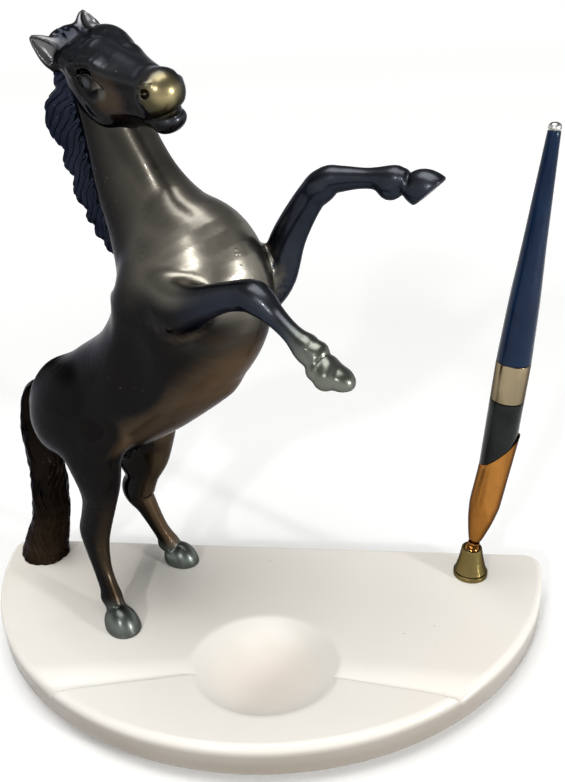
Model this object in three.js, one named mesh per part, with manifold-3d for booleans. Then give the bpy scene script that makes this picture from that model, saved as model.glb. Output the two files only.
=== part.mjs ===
// Desk pen set: a half-round onyx base with a rearing horse, a dish, two pen grooves
// and a desk pen in a swivelling trumpet socket. Millimetres, Z up.
// X runs along the straight back edge, -Y points to the writer, Z = 0 is the desk,
// and the origin is under the middle of the base.
import * as THREE from 'three';
import { mergeVertices } from 'three/addons/utils/BufferGeometryUtils.js';
import Module from 'manifold-3d';

const wasm = await Module();
wasm.setup();

// Driving dimensions
const BASE_WIDTH = 210;
const BASE_DEPTH = 98;
const FELT_THICKNESS = 1.2;
const SLAB_TOP = 16;
const CORNER_RADIUS = 6;
const RIM_ROUND = 2.4;
const BEVEL_INSET = 3.6;
const BEVEL_HEIGHT = 4.8;
const FELT_INSET = 5;
const SEAT_GAP = 0.3;

// Dish and pen grooves
const DISH_X = 6.8;
const DISH_Y = -63.5;
const DISH_RADIUS = 24.8;
const DISH_SQUASH = 0.9;
const DISH_DEPTH = 8.5;
const GROOVE_Y = -62;
const LEFT_GROOVE_ANGLE = THREE.MathUtils.degToRad(12);
const RIGHT_GROOVE_ANGLE = THREE.MathUtils.degToRad(6.5);
const GROOVE_START = 22;
const GROOVE_END = BASE_WIDTH / 2 - 25;
const GROOVE_START_WIDTH = 7.6;
const GROOVE_START_DEPTH = 1.4;
const GROOVE_END_WIDTH = 11.5;
const GROOVE_END_DEPTH = 3.4;

// Screws up through the base
const COUNTERBORE_RADIUS = 5;
const COUNTERBORE_TOP = 6.2;
const SCREW_RADIUS = 1.5;
const BOLT_RADIUS = 1.9;
const HOLE_CLEARANCE = 0.4;
const TAP_CLEARANCE = 0.3;
const WASHER_THICKNESS = 0.8;
const WASHER_RADIUS = 4.3;
const HEAD_RADIUS = 3.1;
const HEAD_HEIGHT = 2.4;
const SCREW_REACH = 5.5;

// Horse: where its frame stands, in from the left end and the back edge, and its heading
const HORSE_FROM_END = 65;
const HORSE_X = HORSE_FROM_END - BASE_WIDTH / 2;
const HORSE_Y = -28.5;
const HORSE_HEADING = THREE.MathUtils.degToRad(22);

// Stations of the horse's castings, in the horse's own frame:
// forward, to its right, up from the base, half width, half depth
const TRUNK = [
  [-35.8, 0, 67.8, 7, 8],
  [-31.2, 0, 69, 13.5, 13.6],
  [-21, 0, 72.2, 17.5, 17.6],
  [-6, 0, 79.3, 18.5, 19.4],
  [10.4, 0, 90.3, 18.5, 19.6],
  [24, 0, 104, 19.5, 22.5],
  [30, 0, 117, 19.5, 25.5],
  [28.5, 0, 128.5, 17.8, 25],
  [22, 0, 140, 12.5, 18],
  [16, 0.5, 151.5, 9.5, 14],
  [12.5, 1, 164, 7.5, 11.5],
  [9.5, 1, 176, 7, 10.5],
  [7, 1, 183, 6, 8.5],
];
const NEAR_HIND_LEG = [
  [-26, 7, 84, 6, 10],
  [-14.5, 11, 77, 9, 16.5],
  [-6, 14.5, 68, 8, 12],
  [-3, 16, 57, 6.5, 8.5],
  [-4.5, 15.5, 47, 5, 6.2],
  [-8, 15.2, 36.5, 4.6, 5.6],
  [-8.6, 16, 28.5, 4, 4.6],
  [-6.2, 17.5, 18.7, 2.9, 3.2],
  [-1.8, 19.6, 9.8, 3.2, 3.4],
  [0.5, 20.8, 5.8, 4.1, 4.4],
  [3.5, 22, -1, 5.6, 6.2],
];
const FAR_HIND_LEG = [
  [-25.5, -7, 80.5, 6, 10],
  [-16.5, -11, 71.5, 9, 17],
  [-8, -14, 60.5, 8.5, 14],
  [-6.5, -14.5, 50, 6.5, 9],
  [-10, -14, 40, 5, 6.5],
  [-12.5, -13.5, 31.5, 4.7, 6.2],
  [-10, -14, 25.5, 3.7, 4.3],
  [-6.5, -15.5, 15.5, 3, 3.2],
  [-4, -17.4, 8, 3.6, 4],
  [-2, -18, 4.5, 4.4, 5],
  [0.4, -18.2, -1, 5.6, 6.6],
];
const NEAR_FORELEG = [
  [26.5, 10, 119, 7, 11],
  [36.5, 16, 122, 7, 9],
  [47, 20, 125, 4.7, 5.2],
  [57.5, 22.5, 129, 3.7, 3.9],
  [66, 24.5, 131, 3.8, 4.1],
  [70, 25.5, 130, 3.6, 3.9],
  [74, 26.5, 127.5, 2.7, 2.8],
  [79, 28, 124.5, 2.4, 2.5],
  [83.5, 29, 121.5, 3.3, 3.5],
  [87, 30, 119.5, 3.1, 3.2],
  [90, 30.5, 117, 3.7, 3.9],
  [92.6, 31.3, 115.7, 3.4, 3.7],
];
const FAR_FORELEG = [
  [31.5, -9, 118, 7, 11],
  [43, -12, 117.5, 6.5, 9],
  [52, -12.5, 123.5, 5, 6.5],
  [57.5, -12.5, 136, 4.1, 5.1],
  [64.5, -12.5, 147, 3.6, 4.2],
  [69.5, -12.5, 151.5, 3.7, 4.1],
  [74, -12.5, 152.5, 3, 3.4],
  [81.5, -12.5, 153, 2.5, 2.7],
  [88.5, -12.5, 153, 3.3, 3.7],
  [91.5, -12.5, 153, 2.9, 3.1],
  [95, -12.5, 153, 3.4, 3.7],
  [99, -12.5, 154, 2.8, 2.7],
];
const TAIL = [
  [-32.5, 0, 68, 3.2, 3.4],
  [-38.5, 0, 75.5, 3.4, 3.6],
  [-43.6, 0, 71, 4.2, 4.2],
  [-45.4, 0, 59, 5.2, 5.4],
  [-44.3, 0, 45, 6, 6.4],
  [-44.8, 0.3, 31, 6.4, 6.8],
  [-47.6, 0.5, 16.5, 6.8, 7],
  [-51.5, 0.8, 6, 7.4, 7.8],
  [-53.4, 1, -1, 8, 8.8],
];
const MANE = [
  [1, 0.5, 184, 2.2, 3],
  [-3.5, 1, 178, 3.2, 5],
  [-5.5, 1, 169.5, 3.6, 6],
  [-3.4, 1, 158.5, 3.2, 5.3],
  [-1.2, 1, 148.5, 3, 4.8],
  [2, 0.5, 138, 2.5, 4.3],
  [5.3, 0, 130, 1.8, 2.8],
];

// The head is turned to the writer and tipped over. Its stations run along the nose:
// along, to its right, up from the nose line, half width, half depth
const HEAD_POLL = [3, 1.2, 183];
const HEAD_YAW = THREE.MathUtils.degToRad(22);
const HEAD_PITCH = THREE.MathUtils.degToRad(-7);
const HEAD_ROLL = THREE.MathUtils.degToRad(21);
const HEAD = [
  [-3, 0, 0.5, 5.2, 6.2],
  [3, 0, -1, 7.8, 8.4],
  [9, 0, -2.8, 8.9, 11.4],
  [14, 0, -3.8, 8.7, 11.2],
  [19.5, 0, -2.4, 7.2, 8.8],
  [25, 0, -1, 5.8, 6.6],
  [30, 0, -0.6, 5.1, 5.6],
  [34.5, 0, -0.9, 5.2, 5.4],
  [38.5, 0, -1.2, 5, 5.2],
  [41.4, 0, -1.6, 3.8, 4],
];
const CHIN = [
  [24, 0, -7, 2.8, 2.4],
  [30, 0, -8, 3.6, 3],
  [35, 0, -8.2, 3.8, 3.1],
  [37.6, 0, -7.8, 3.1, 2.6],
];
const EAR = [
  [1.5, 4.6, 1.5, 2.8, 2.4],
  [-1.2, 6.2, 4.8, 3.2, 2.3],
  [-3, 7.2, 7.6, 2.3, 2],
  [-4.6, 8, 10.4, 0.6, 0.6],
];

// Ball socket of the pen: centre of the ball, lean of the trumpet and of the pen in it
const BALL_FROM_END = 27.4;
const BALL_X = BASE_WIDTH / 2 - BALL_FROM_END;
const BALL_Y = -13.5;
const BALL_Z = 26.5;
const BALL_RADIUS = 3;
const BALL_CLEARANCE = 0.25;
const TRUMPET_LEAN = THREE.MathUtils.degToRad(9.2);
const PEN_LEAN = THREE.MathUtils.degToRad(4.6);
const PEN_CROSSING = 38.5;

const BELL_TOP = BALL_Z + 1.5;
const BELL_RADIUS = 6.2;
const BELL_TOP_RADIUS = 3.6;
const BELL_BAND = 1.8;
const BELL_WAIST = 6;
const CHAMBER_FLOOR = 20.2;
const SPRING_BORE = 1.3;
const SPRING_HEIGHT = 0.9;

// Trumpet, heights up its axis from the centre of the ball
const NECK_RADIUS = 1.6;
const COLLAR_RADIUS = 2.1;
const COLLAR_BOTTOM = BALL_RADIUS + 0.4;
const COLLAR_TOP = COLLAR_BOTTOM + 0.7;
const STUD_RADIUS = 1.3;
const STUD_END = COLLAR_TOP + 3.3;
const BOSS_BOTTOM = COLLAR_TOP + SEAT_GAP;
const CUP_FLOOR = STUD_END + 1.8;
const CUP_FLOOR_RADIUS = 2.4;
const TRUMPET_RADIUS = 5.4;
const TRUMPET_WALL = 0.6;
const TRUMPET_FLARE = [
  [1.8, BOSS_BOTTOM],
  [2.5, 6],
  [3.4, 9.5],
  [4.4, 14],
  [5, 18],
  [5.35, 21],
  [TRUMPET_RADIUS, 23.5],
];
const LIP_HEIGHT = 43.7;
const LIP_SLOPE = THREE.MathUtils.degToRad(52);
const LINER_WALL = 0.6;
const LINER_FOOT = 22.5;
const LINER_RISE = 2;

// Pen, heights up its axis from where it crosses the trumpet's
const PEN_RADIUS = 5.6;
const PEN_EDGE = 0.2;
const BAND_BOTTOM = 24.6;
const BAND_TOP = 38.1;
const BAND_WALL = 1.1;
const BARREL_END = 110.5;
const BARREL_END_RADIUS = 1.95;
const FINIAL_RADIUS = 1.9;
const FINIAL_HEIGHT = 2.3;
const FINIAL_PIN_RADIUS = 0.6;
const FINIAL_PIN_LENGTH = 2.6;
const SPIGOT_RADIUS = 4.3;
const BARREL_BORE = 3.2;
const GRIP_RADIUS = 3.6;
const GRIP_NOSE = -16;
const GRIP_NOSE_RADIUS = 2;
const GRIP_OVERLAP = 9;
const REFILL_RADIUS = 1.4;
const REFILL_TOP = BARREL_END - 26.5;
const POINT_LENGTH = 5;
const POINT_RADIUS = 1.1;
const BALL_POINT_RADIUS = 0.35;

const TURN_SEGMENTS = 24;

// Materials
function finish(color, roughness, metalness) {
  return new THREE.MeshStandardMaterial({ color, roughness, metalness });
}

const onyx = () => finish(0xe9e2d2, 0.3, 0);
const felt = () => finish(0x3d5a3a, 0.95, 0);
const bronze = () => finish(0x2e2823, 0.3, 1);
const bronzeDark = () => finish(0x1d1b1c, 0.42, 1);
const steel = () => finish(0x9a9a98, 0.35, 1);
const gold = () => finish(0xb98d3e, 0.22, 1);
const brass = () => finish(0x8d7a45, 0.32, 1);
const blackPlastic = () => finish(0x0d0f10, 0.2, 0);
const navyPlastic = () => finish(0x10182e, 0.22, 0);

// Closed geometry to a solid for cutting, and back
function solid(geometry) {
  const bare = geometry.clone();
  bare.deleteAttribute('normal');
  bare.deleteAttribute('uv');
  const welded = mergeVertices(bare, 1e-5);
  return new wasm.Manifold(new wasm.Mesh({
    numProp: 3,
    vertProperties: new Float32Array(welded.attributes.position.array),
    triVerts: new Uint32Array(welded.index.array),
  }));
}

function largest(body) {
  return body.decompose().reduce((a, b) => (a.volume() > b.volume() ? a : b));
}

function geometryOf(body) {
  const mesh = body.getMesh();
  const geometry = new THREE.BufferGeometry();
  geometry.setAttribute('position', new THREE.BufferAttribute(mesh.vertProperties, 3));
  geometry.setIndex(new THREE.BufferAttribute(mesh.triVerts, 1));
  geometry.computeVertexNormals();
  return geometry;
}

// Solid of revolution about Z from [radius, height] points that start and end on the axis
function turned(profile, segments = TURN_SEGMENTS) {
  const points = profile.map(([radius, height]) => new THREE.Vector2(radius, height));
  return new THREE.LatheGeometry(points, segments).rotateX(Math.PI / 2);
}

// Ring or sleeve about Z from a closed loop of [radius, height] points
function ring(loop, segments = TURN_SEGMENTS) {
  return turned([...loop, loop[0]], segments);
}

function rod(radius, bottom, top, segments = TURN_SEGMENTS) {
  return turned([[0, bottom], [radius, bottom], [radius, top], [0, top]], segments);
}

// Smooth run through hand-set stations, [x, y, z, half width, half depth]
function between(p0, p1, p2, p3, t) {
  const curve = (a, b, c, d) => 0.5 * (2 * b + (c - a) * t
    + (2 * a - 5 * b + 4 * c - d) * t * t + (3 * b - a - 3 * c + d) * t * t * t);
  return p1.map((value, k) => curve(p0[k], value, p2[k], p3[k]));
}

function smoothRun(stations, steps) {
  const mirrored = (end, inner) => end.map((value, k) => 2 * value - inner[k]);
  const last = stations.length - 1;
  const all = [
    mirrored(stations[0], stations[1]),
    ...stations,
    mirrored(stations[last], stations[last - 1]),
  ];
  const run = [];
  for (let i = 1; i <= last; i += 1) {
    for (let j = 0; j < steps; j += 1) {
      run.push(between(all[i - 1], all[i], all[i + 1], all[i + 2], j / steps));
    }
  }
  run.push([...stations[last]]);
  return run;
}

// Closed skin of elliptic rings along the run; grow makes it fatter for cutting a seat
function loft(stations, { sides = 14, steps = 2, grow = 0 } = {}) {
  const run = smoothRun(stations, steps);
  const count = run.length;
  const centres = run.map(([x, y, z]) => new THREE.Vector3(x, y, z));
  const side = new THREE.Vector3(0, 1, 0);
  const positions = [];
  const tangents = centres.map((_, i) => {
    const before = centres[Math.max(i - 1, 0)];
    const after = centres[Math.min(i + 1, count - 1)];
    return after.clone().sub(before).normalize();
  });
  run.forEach((station, i) => {
    const across = side.clone().addScaledVector(tangents[i], -side.dot(tangents[i])).normalize();
    const deep = tangents[i].clone().cross(across);
    for (let k = 0; k < sides; k += 1) {
      const angle = (2 * Math.PI * k) / sides;
      const point = centres[i].clone()
        .addScaledVector(across, Math.cos(angle) * (station[3] + grow))
        .addScaledVector(deep, Math.sin(angle) * (station[4] + grow));
      positions.push(point.x, point.y, point.z);
    }
  });
  const cap = (i, sign) => {
    const reach = Math.min(run[i][3], run[i][4]) * 0.5 + grow;
    const tip = centres[i].clone().addScaledVector(tangents[i], sign * reach);
    positions.push(tip.x, tip.y, tip.z);
  };
  cap(0, -1);
  cap(count - 1, 1);
  const faces = [];
  for (let i = 0; i < count - 1; i += 1) {
    for (let k = 0; k < sides; k += 1) {
      const a = i * sides + k;
      const b = i * sides + ((k + 1) % sides);
      faces.push(a, b, b + sides, a, b + sides, a + sides);
    }
  }
  const start = count * sides;
  const end = start + 1;
  const lastRing = (count - 1) * sides;
  for (let k = 0; k < sides; k += 1) {
    const next = (k + 1) % sides;
    faces.push(start, next, k, end, lastRing + k, lastRing + next);
  }
  const geometry = new THREE.BufferGeometry();
  geometry.setAttribute('position', new THREE.Float32BufferAttribute(positions, 3));
  geometry.setIndex(faces);
  return geometry;
}

// Horse frame: forward, to its right, up from the base top
const horseFrame = new THREE.Matrix4().makeBasis(
  new THREE.Vector3(Math.cos(HORSE_HEADING), -Math.sin(HORSE_HEADING), 0),
  new THREE.Vector3(-Math.sin(HORSE_HEADING), -Math.cos(HORSE_HEADING), 0),
  new THREE.Vector3(0, 0, 1),
).setPosition(HORSE_X, HORSE_Y, SLAB_TOP);

function headFrame() {
  const nose = new THREE.Vector3(
    Math.cos(HEAD_PITCH) * Math.cos(HEAD_YAW),
    Math.cos(HEAD_PITCH) * Math.sin(HEAD_YAW),
    Math.sin(HEAD_PITCH),
  );
  const level = new THREE.Vector3(-Math.sin(HEAD_YAW), Math.cos(HEAD_YAW), 0);
  const crown = nose.clone().cross(level);
  const right = level.clone().multiplyScalar(Math.cos(HEAD_ROLL))
    .addScaledVector(crown, -Math.sin(HEAD_ROLL));
  const up = crown.clone().multiplyScalar(Math.cos(HEAD_ROLL))
    .addScaledVector(level, Math.sin(HEAD_ROLL));
  return new THREE.Matrix4().makeBasis(nose, right, up).setPosition(...HEAD_POLL);
}

// The horse frame is left-handed, so its faces are turned to keep the outside outside
function inHorseFrame(geometry) {
  geometry.applyMatrix4(horseFrame);
  const index = geometry.index.array;
  for (let i = 0; i < index.length; i += 3) {
    const swap = index[i + 1];
    index[i + 1] = index[i + 2];
    index[i + 2] = swap;
  }
  return solid(geometry);
}

function casting(stations, options) {
  return inHorseFrame(loft(stations, options));
}

function headCasting(stations, options) {
  return inHorseFrame(loft(stations, options).applyMatrix4(headFrame()));
}

// World position of a point given in the horse frame
function onBase(forward, right) {
  const point = new THREE.Vector3(forward, right, 0).applyMatrix4(horseFrame);
  return [point.x, point.y];
}

const NEAR_HOOF = onBase(3.5, 22);
const FAR_HOOF = onBase(0.4, -18.2);
const TAIL_FOOT = onBase(-50.5, 1);

// Everything below the base top is cut away, which leaves flat feet
function above(height) {
  const reach = 400;
  const block = new THREE.BoxGeometry(reach, reach, reach);
  return solid(block.translate(0, 0, height + reach / 2));
}

function moved(geometry, [x, y], z = 0) {
  return geometry.translate(x, y, z);
}

// Outline of the base, stepped in by an inset: half ellipse, rounded corners, straight back
function baseOutline(inset) {
  const points = [];
  const cornerSteps = 4;
  const arcSteps = 48;
  const corner = CORNER_RADIUS;
  const halfWidth = BASE_WIDTH / 2;
  const start = Math.asin(corner / BASE_DEPTH);
  const cornerX = halfWidth * Math.cos(start) - corner;
  for (let i = 0; i <= arcSteps; i += 1) {
    const angle = start + ((Math.PI - 2 * start) * i) / arcSteps;
    const x = halfWidth * Math.cos(angle);
    const y = -BASE_DEPTH * Math.sin(angle);
    const normal = new THREE.Vector2(x / halfWidth ** 2, y / BASE_DEPTH ** 2).normalize();
    points.push([x - normal.x * inset, y - normal.y * inset]);
  }
  for (const sign of [-1, 1]) {
    for (let i = 1; i <= cornerSteps; i += 1) {
      const turn = (Math.PI / 2) * (i / cornerSteps);
      const angle = sign < 0 ? Math.PI - turn : Math.PI / 2 - turn;
      const last = sign > 0 && i === cornerSteps;
      const x = sign * cornerX + (corner - inset) * Math.cos(angle);
      const y = -corner + (corner - inset) * Math.sin(angle);
      if (!last) points.push([x, y]);
    }
    if (sign < 0) points.push([cornerX, -inset]);
  }
  return points;
}

// Closed skin through outline rings, each [inset, height]
function stackedOutline(levels) {
  const positions = [];
  const faces = [];
  const rings = levels.map(([inset, height]) => {
    const outline = baseOutline(inset);
    outline.forEach(([x, y]) => positions.push(x, y, height));
    return outline;
  });
  const count = rings[0].length;
  for (let level = 0; level < levels.length - 1; level += 1) {
    for (let k = 0; k < count; k += 1) {
      const a = level * count + k;
      const b = level * count + ((k + 1) % count);
      faces.push(a, b + count, b, a, a + count, b + count);
    }
  }
  const cap = (outline, first, facingUp) => {
    const flat = outline.map(([x, y]) => new THREE.Vector2(x, y));
    THREE.ShapeUtils.triangulateShape(flat, []).forEach(([a, b, c]) => {
      const up = THREE.ShapeUtils.area([flat[a], flat[b], flat[c]]) > 0;
      const [second, third] = up === facingUp ? [b, c] : [c, b];
      faces.push(first + a, first + second, first + third);
    });
  };
  cap(rings[0], 0, false);
  cap(rings[rings.length - 1], (levels.length - 1) * count, true);
  const geometry = new THREE.BufferGeometry();
  geometry.setAttribute('position', new THREE.Float32BufferAttribute(positions, 3));
  geometry.setIndex(faces);
  return geometry;
}

function dishCut() {
  const sphere = (DISH_RADIUS ** 2 + DISH_DEPTH ** 2) / (2 * DISH_DEPTH);
  const centre = SLAB_TOP - DISH_DEPTH + sphere;
  const steps = 8;
  const profile = [];
  for (let i = 0; i <= steps; i += 1) {
    const radius = DISH_RADIUS * (i / steps);
    profile.push([radius, centre - Math.sqrt(sphere ** 2 - radius ** 2)]);
  }
  const flare = 1.2;
  profile.push([DISH_RADIUS + flare, SLAB_TOP + flare], [0, SLAB_TOP + flare]);
  return solid(moved(turned(profile, 48).scale(1, DISH_SQUASH, 1), [DISH_X, DISH_Y]));
}

// A tapered round groove running out from the dish to the rim
function grooveCut(side, angle) {
  const radiusFor = (width, depth) => ((width / 2) ** 2 + depth ** 2) / (2 * depth);
  const startRadius = radiusFor(GROOVE_START_WIDTH, GROOVE_START_DEPTH);
  const endRadius = radiusFor(GROOVE_END_WIDTH, GROOVE_END_DEPTH);
  const station = (distance, radius, depth) => [
    DISH_X + side * distance * Math.cos(angle),
    GROOVE_Y - distance * Math.sin(angle),
    SLAB_TOP + radius - depth,
    radius,
    radius,
  ];
  return solid(loft([
    station(GROOVE_START, startRadius, GROOVE_START_DEPTH),
    station(GROOVE_END, endRadius, GROOVE_END_DEPTH),
  ], { sides: 40, steps: 1 }));
}

function fixingCut(place, shankRadius) {
  const loose = shankRadius + HOLE_CLEARANCE;
  const below = -1;
  return solid(moved(turned([
    [0, below],
    [COUNTERBORE_RADIUS, below],
    [COUNTERBORE_RADIUS, COUNTERBORE_TOP],
    [loose, COUNTERBORE_TOP],
    [loose, SLAB_TOP + 1],
    [0, SLAB_TOP + 1],
  ]), place));
}

function onyxBase() {
  const round = (step) => {
    const angle = (Math.PI / 2) * (step / 4);
    return [RIM_ROUND * (1 - Math.cos(angle)), SLAB_TOP - RIM_ROUND * (1 - Math.sin(angle))];
  };
  let slab = solid(stackedOutline([
    [BEVEL_INSET, FELT_THICKNESS],
    [BEVEL_INSET * 0.35, FELT_THICKNESS + BEVEL_HEIGHT * 0.55],
    [0, FELT_THICKNESS + BEVEL_HEIGHT],
    round(0),
    round(1),
    round(2),
    round(3),
    round(4),
  ]));
  slab = slab.subtract(dishCut());
  slab = slab.subtract(grooveCut(-1, LEFT_GROOVE_ANGLE));
  slab = slab.subtract(grooveCut(1, RIGHT_GROOVE_ANGLE));
  for (const place of [NEAR_HOOF, FAR_HOOF, TAIL_FOOT]) {
    slab = slab.subtract(fixingCut(place, SCREW_RADIUS));
  }
  return geometryOf(slab.subtract(fixingCut([BALL_X, BALL_Y], BOLT_RADIUS)));
}

function feltPad() {
  let pad = solid(stackedOutline([[FELT_INSET, 0], [FELT_INSET, FELT_THICKNESS]]));
  for (const place of [NEAR_HOOF, FAR_HOOF, TAIL_FOOT, [BALL_X, BALL_Y]]) {
    pad = pad.subtract(solid(moved(rod(COUNTERBORE_RADIUS, -1, FELT_THICKNESS + 1), place)));
  }
  return geometryOf(pad);
}

// Horse castings: each is cut to leave a thin gap to what it is soldered to
const TRUNK_LOFT = { sides: 22, steps: 3 };
const HEAD_LOFT = { sides: 16, steps: 2 };
const trunk = casting(TRUNK, TRUNK_LOFT);
const trunkSeat = casting(TRUNK, { ...TRUNK_LOFT, grow: SEAT_GAP });
const headSolid = headShape(0);
const headSeat = headShape(SEAT_GAP);

function headShape(grow) {
  const otherEar = EAR.map(([x, y, z, width, depth]) => [x, -y, z, width, depth]);
  return headCasting(HEAD, { ...HEAD_LOFT, grow })
    .add(headCasting(CHIN, { sides: 10, grow }))
    .add(headCasting(EAR, { sides: 8, grow }))
    .add(headCasting(otherEar, { sides: 8, grow }));
}

function tapHole(place) {
  return solid(moved(rod(SCREW_RADIUS + TAP_CLEARANCE, 0, SLAB_TOP + SCREW_REACH + 0.5, 16), place));
}

function standingPiece(stations, place, options) {
  const piece = casting(stations, options).subtract(trunkSeat).intersect(above(SLAB_TOP));
  return geometryOf(largest(piece.subtract(tapHole(place))));
}

function freeLeg(stations) {
  return geometryOf(largest(casting(stations).subtract(trunkSeat)));
}

function horseHead() {
  return geometryOf(largest(headSolid.subtract(trunkSeat)));
}

function horseMane() {
  const lock = casting(MANE, { sides: 12, steps: 3 });
  return geometryOf(largest(lock.subtract(trunkSeat).subtract(headSeat)));
}

// Fixings
const washerTop = COUNTERBORE_TOP;
const headTop = washerTop - WASHER_THICKNESS;

function screw(radius, headRadius, reach) {
  const head = solid(rod(headRadius, headTop - HEAD_HEIGHT, headTop, 6));
  const shank = solid(rod(radius, headTop - 0.5, reach, 16));
  return geometryOf(head.add(shank));
}

function washer(boltRadius) {
  const bore = boltRadius + HOLE_CLEARANCE;
  return ring([
    [bore, headTop],
    [WASHER_RADIUS, headTop],
    [WASHER_RADIUS, washerTop],
    [bore, washerTop],
  ], 20);
}

// Ball socket
function arc(radius, centreZ, from, to, steps) {
  const points = [];
  for (let i = 0; i <= steps; i += 1) {
    const angle = from + ((to - from) * i) / steps;
    points.push([radius * Math.cos(angle), centreZ + radius * Math.sin(angle)]);
  }
  return points;
}

const socketRadius = BALL_RADIUS + BALL_CLEARANCE;
const threadRadius = BOLT_RADIUS + TAP_CLEARANCE;

function socketBell() {
  const mouth = Math.asin((BELL_TOP - BALL_Z) / socketRadius);
  const groove = 0.4;
  return ring([
    [threadRadius, SLAB_TOP],
    [BELL_RADIUS, SLAB_TOP],
    [BELL_RADIUS, SLAB_TOP + BELL_BAND],
    [BELL_RADIUS - groove, SLAB_TOP + BELL_BAND + groove],
    [BELL_RADIUS - 1.4, SLAB_TOP + BELL_WAIST],
    [BELL_TOP_RADIUS + 0.35, BALL_Z - 0.5],
    [BELL_TOP_RADIUS, BELL_TOP],
    ...arc(socketRadius, BALL_Z, mouth, 0, 3),
    [socketRadius, CHAMBER_FLOOR],
    [threadRadius, CHAMBER_FLOOR],
  ]);
}

const SPRING_BOTTOM = CHAMBER_FLOOR + SEAT_GAP;
const SPRING_TOP = SPRING_BOTTOM + SPRING_HEIGHT;
const CUP_BOTTOM = SPRING_TOP + SEAT_GAP;
const CUP_RADIUS = BALL_RADIUS - 0.1;

function seatSpring() {
  return ring([
    [SPRING_BORE, SPRING_BOTTOM],
    [CUP_RADIUS, SPRING_BOTTOM],
    [CUP_RADIUS, SPRING_TOP],
    [SPRING_BORE, SPRING_TOP],
  ], 20);
}

function ballSeat() {
  const cup = BALL_RADIUS + SEAT_GAP;
  const rim = -Math.acos(CUP_RADIUS / cup);
  return turned([
    [0, CUP_BOTTOM],
    [CUP_RADIUS, CUP_BOTTOM],
    ...arc(cup, BALL_Z, rim, -Math.PI / 2 + 0.15, 4),
    [0, BALL_Z - cup],
  ]);
}

// Trumpet frame: heights run up the trumpet's axis from the ball's centre
function swivelBall() {
  return turned([
    [0, -BALL_RADIUS],
    ...arc(BALL_RADIUS, 0, -Math.PI / 2 + 0.25, Math.acos(NECK_RADIUS / BALL_RADIUS), 9),
    [NECK_RADIUS, COLLAR_BOTTOM - 0.2],
    [COLLAR_RADIUS, COLLAR_BOTTOM],
    [COLLAR_RADIUS, COLLAR_TOP],
    [STUD_RADIUS, COLLAR_TOP],
    [STUD_RADIUS, STUD_END],
    [0, STUD_END],
  ]);
}

// Half space above the oblique lip, raised by a gap
function aboveLip(raise) {
  const size = 80;
  const block = new THREE.BoxGeometry(size, size, size).translate(0, 0, size / 2);
  return solid(block.rotateY(-LIP_SLOPE).translate(0, 0, LIP_HEIGHT + raise));
}

function trumpetShell() {
  const top = LIP_HEIGHT + 2 * TRUMPET_RADIUS;
  const hollow = TRUMPET_FLARE.filter(([, height]) => height > CUP_FLOOR + 1)
    .map(([radius, height]) => [radius - TRUMPET_WALL, height]);
  const cup = solid(turned([
    [0, BOSS_BOTTOM],
    ...TRUMPET_FLARE,
    [TRUMPET_RADIUS, top],
    [TRUMPET_RADIUS - TRUMPET_WALL, top],
    ...hollow.reverse(),
    [CUP_FLOOR_RADIUS, CUP_FLOOR],
    [0, CUP_FLOOR],
  ], 28));
  const studTop = STUD_END + TAP_CLEARANCE;
  const stud = solid(rod(STUD_RADIUS + TAP_CLEARANCE, BOSS_BOTTOM - 1, studTop, 20));
  return geometryOf(cup.subtract(stud).subtract(aboveLip(0)));
}

// Pen frame inside the trumpet frame
function intoTrumpet(geometry) {
  return geometry.rotateY(PEN_LEAN - TRUMPET_LEAN).translate(0, 0, PEN_CROSSING);
}

function trumpetLiner() {
  const sleeveRadius = TRUMPET_RADIUS - TRUMPET_WALL - SEAT_GAP;
  const bore = sleeveRadius - LINER_WALL;
  const collarTop = BAND_BOTTOM - SEAT_GAP;
  const past = 1;
  const sleeve = solid(rod(sleeveRadius, LINER_FOOT, LIP_HEIGHT + LINER_RISE, 28));
  const collar = solid(intoTrumpet(rod(PEN_RADIUS, -2 * PEN_RADIUS, collarTop, 28)));
  const upper = collar.intersect(aboveLip(SEAT_GAP / Math.cos(LIP_SLOPE)));
  const lower = solid(rod(bore, LINER_FOOT - past, LIP_HEIGHT + LINER_RISE + past, 24));
  const through = solid(intoTrumpet(rod(bore, -1.5 * PEN_RADIUS, collarTop + past, 24)));
  return geometryOf(sleeve.subtract(aboveLip(LINER_RISE))
    .add(upper)
    .subtract(lower)
    .subtract(through));
}

// Pen frame: heights run up the pen's axis from where it crosses the trumpet's
function penBarrel() {
  const foot = BAND_BOTTOM + 1.2;
  const along = (share) => BAND_TOP + share * (BARREL_END - BAND_TOP);
  const pinBore = FINIAL_PIN_RADIUS + SEAT_GAP;
  const pinFloor = BARREL_END - FINIAL_PIN_LENGTH - HOLE_CLEARANCE;
  return turned([
    [0, REFILL_TOP + 6],
    [REFILL_RADIUS + 0.5, REFILL_TOP + 4],
    [REFILL_RADIUS + 1, REFILL_TOP - 14],
    [BARREL_BORE, along(0.12)],
    [BARREL_BORE, foot],
    [SPIGOT_RADIUS, foot],
    [SPIGOT_RADIUS, BAND_TOP + SEAT_GAP],
    [PEN_RADIUS, BAND_TOP + SEAT_GAP],
    [PEN_RADIUS - PEN_EDGE, along(0.08)],
    [4.75, along(0.3)],
    [3.75, along(0.52)],
    [2.95, along(0.735)],
    [BARREL_END_RADIUS, BARREL_END],
    [pinBore, BARREL_END],
    [pinBore, pinFloor],
    [0, pinFloor],
  ]);
}

function penFinial() {
  const base = BARREL_END + SEAT_GAP;
  const top = BARREL_END + FINIAL_HEIGHT;
  return turned([
    [0, BARREL_END - FINIAL_PIN_LENGTH],
    [FINIAL_PIN_RADIUS, BARREL_END - FINIAL_PIN_LENGTH],
    [FINIAL_PIN_RADIUS, base],
    [FINIAL_RADIUS, base],
    [FINIAL_RADIUS, base + 0.8],
    [FINIAL_RADIUS - 0.5, top - 0.5],
    [FINIAL_RADIUS - 1.2, top],
    [0, top],
  ], 20);
}

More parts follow.
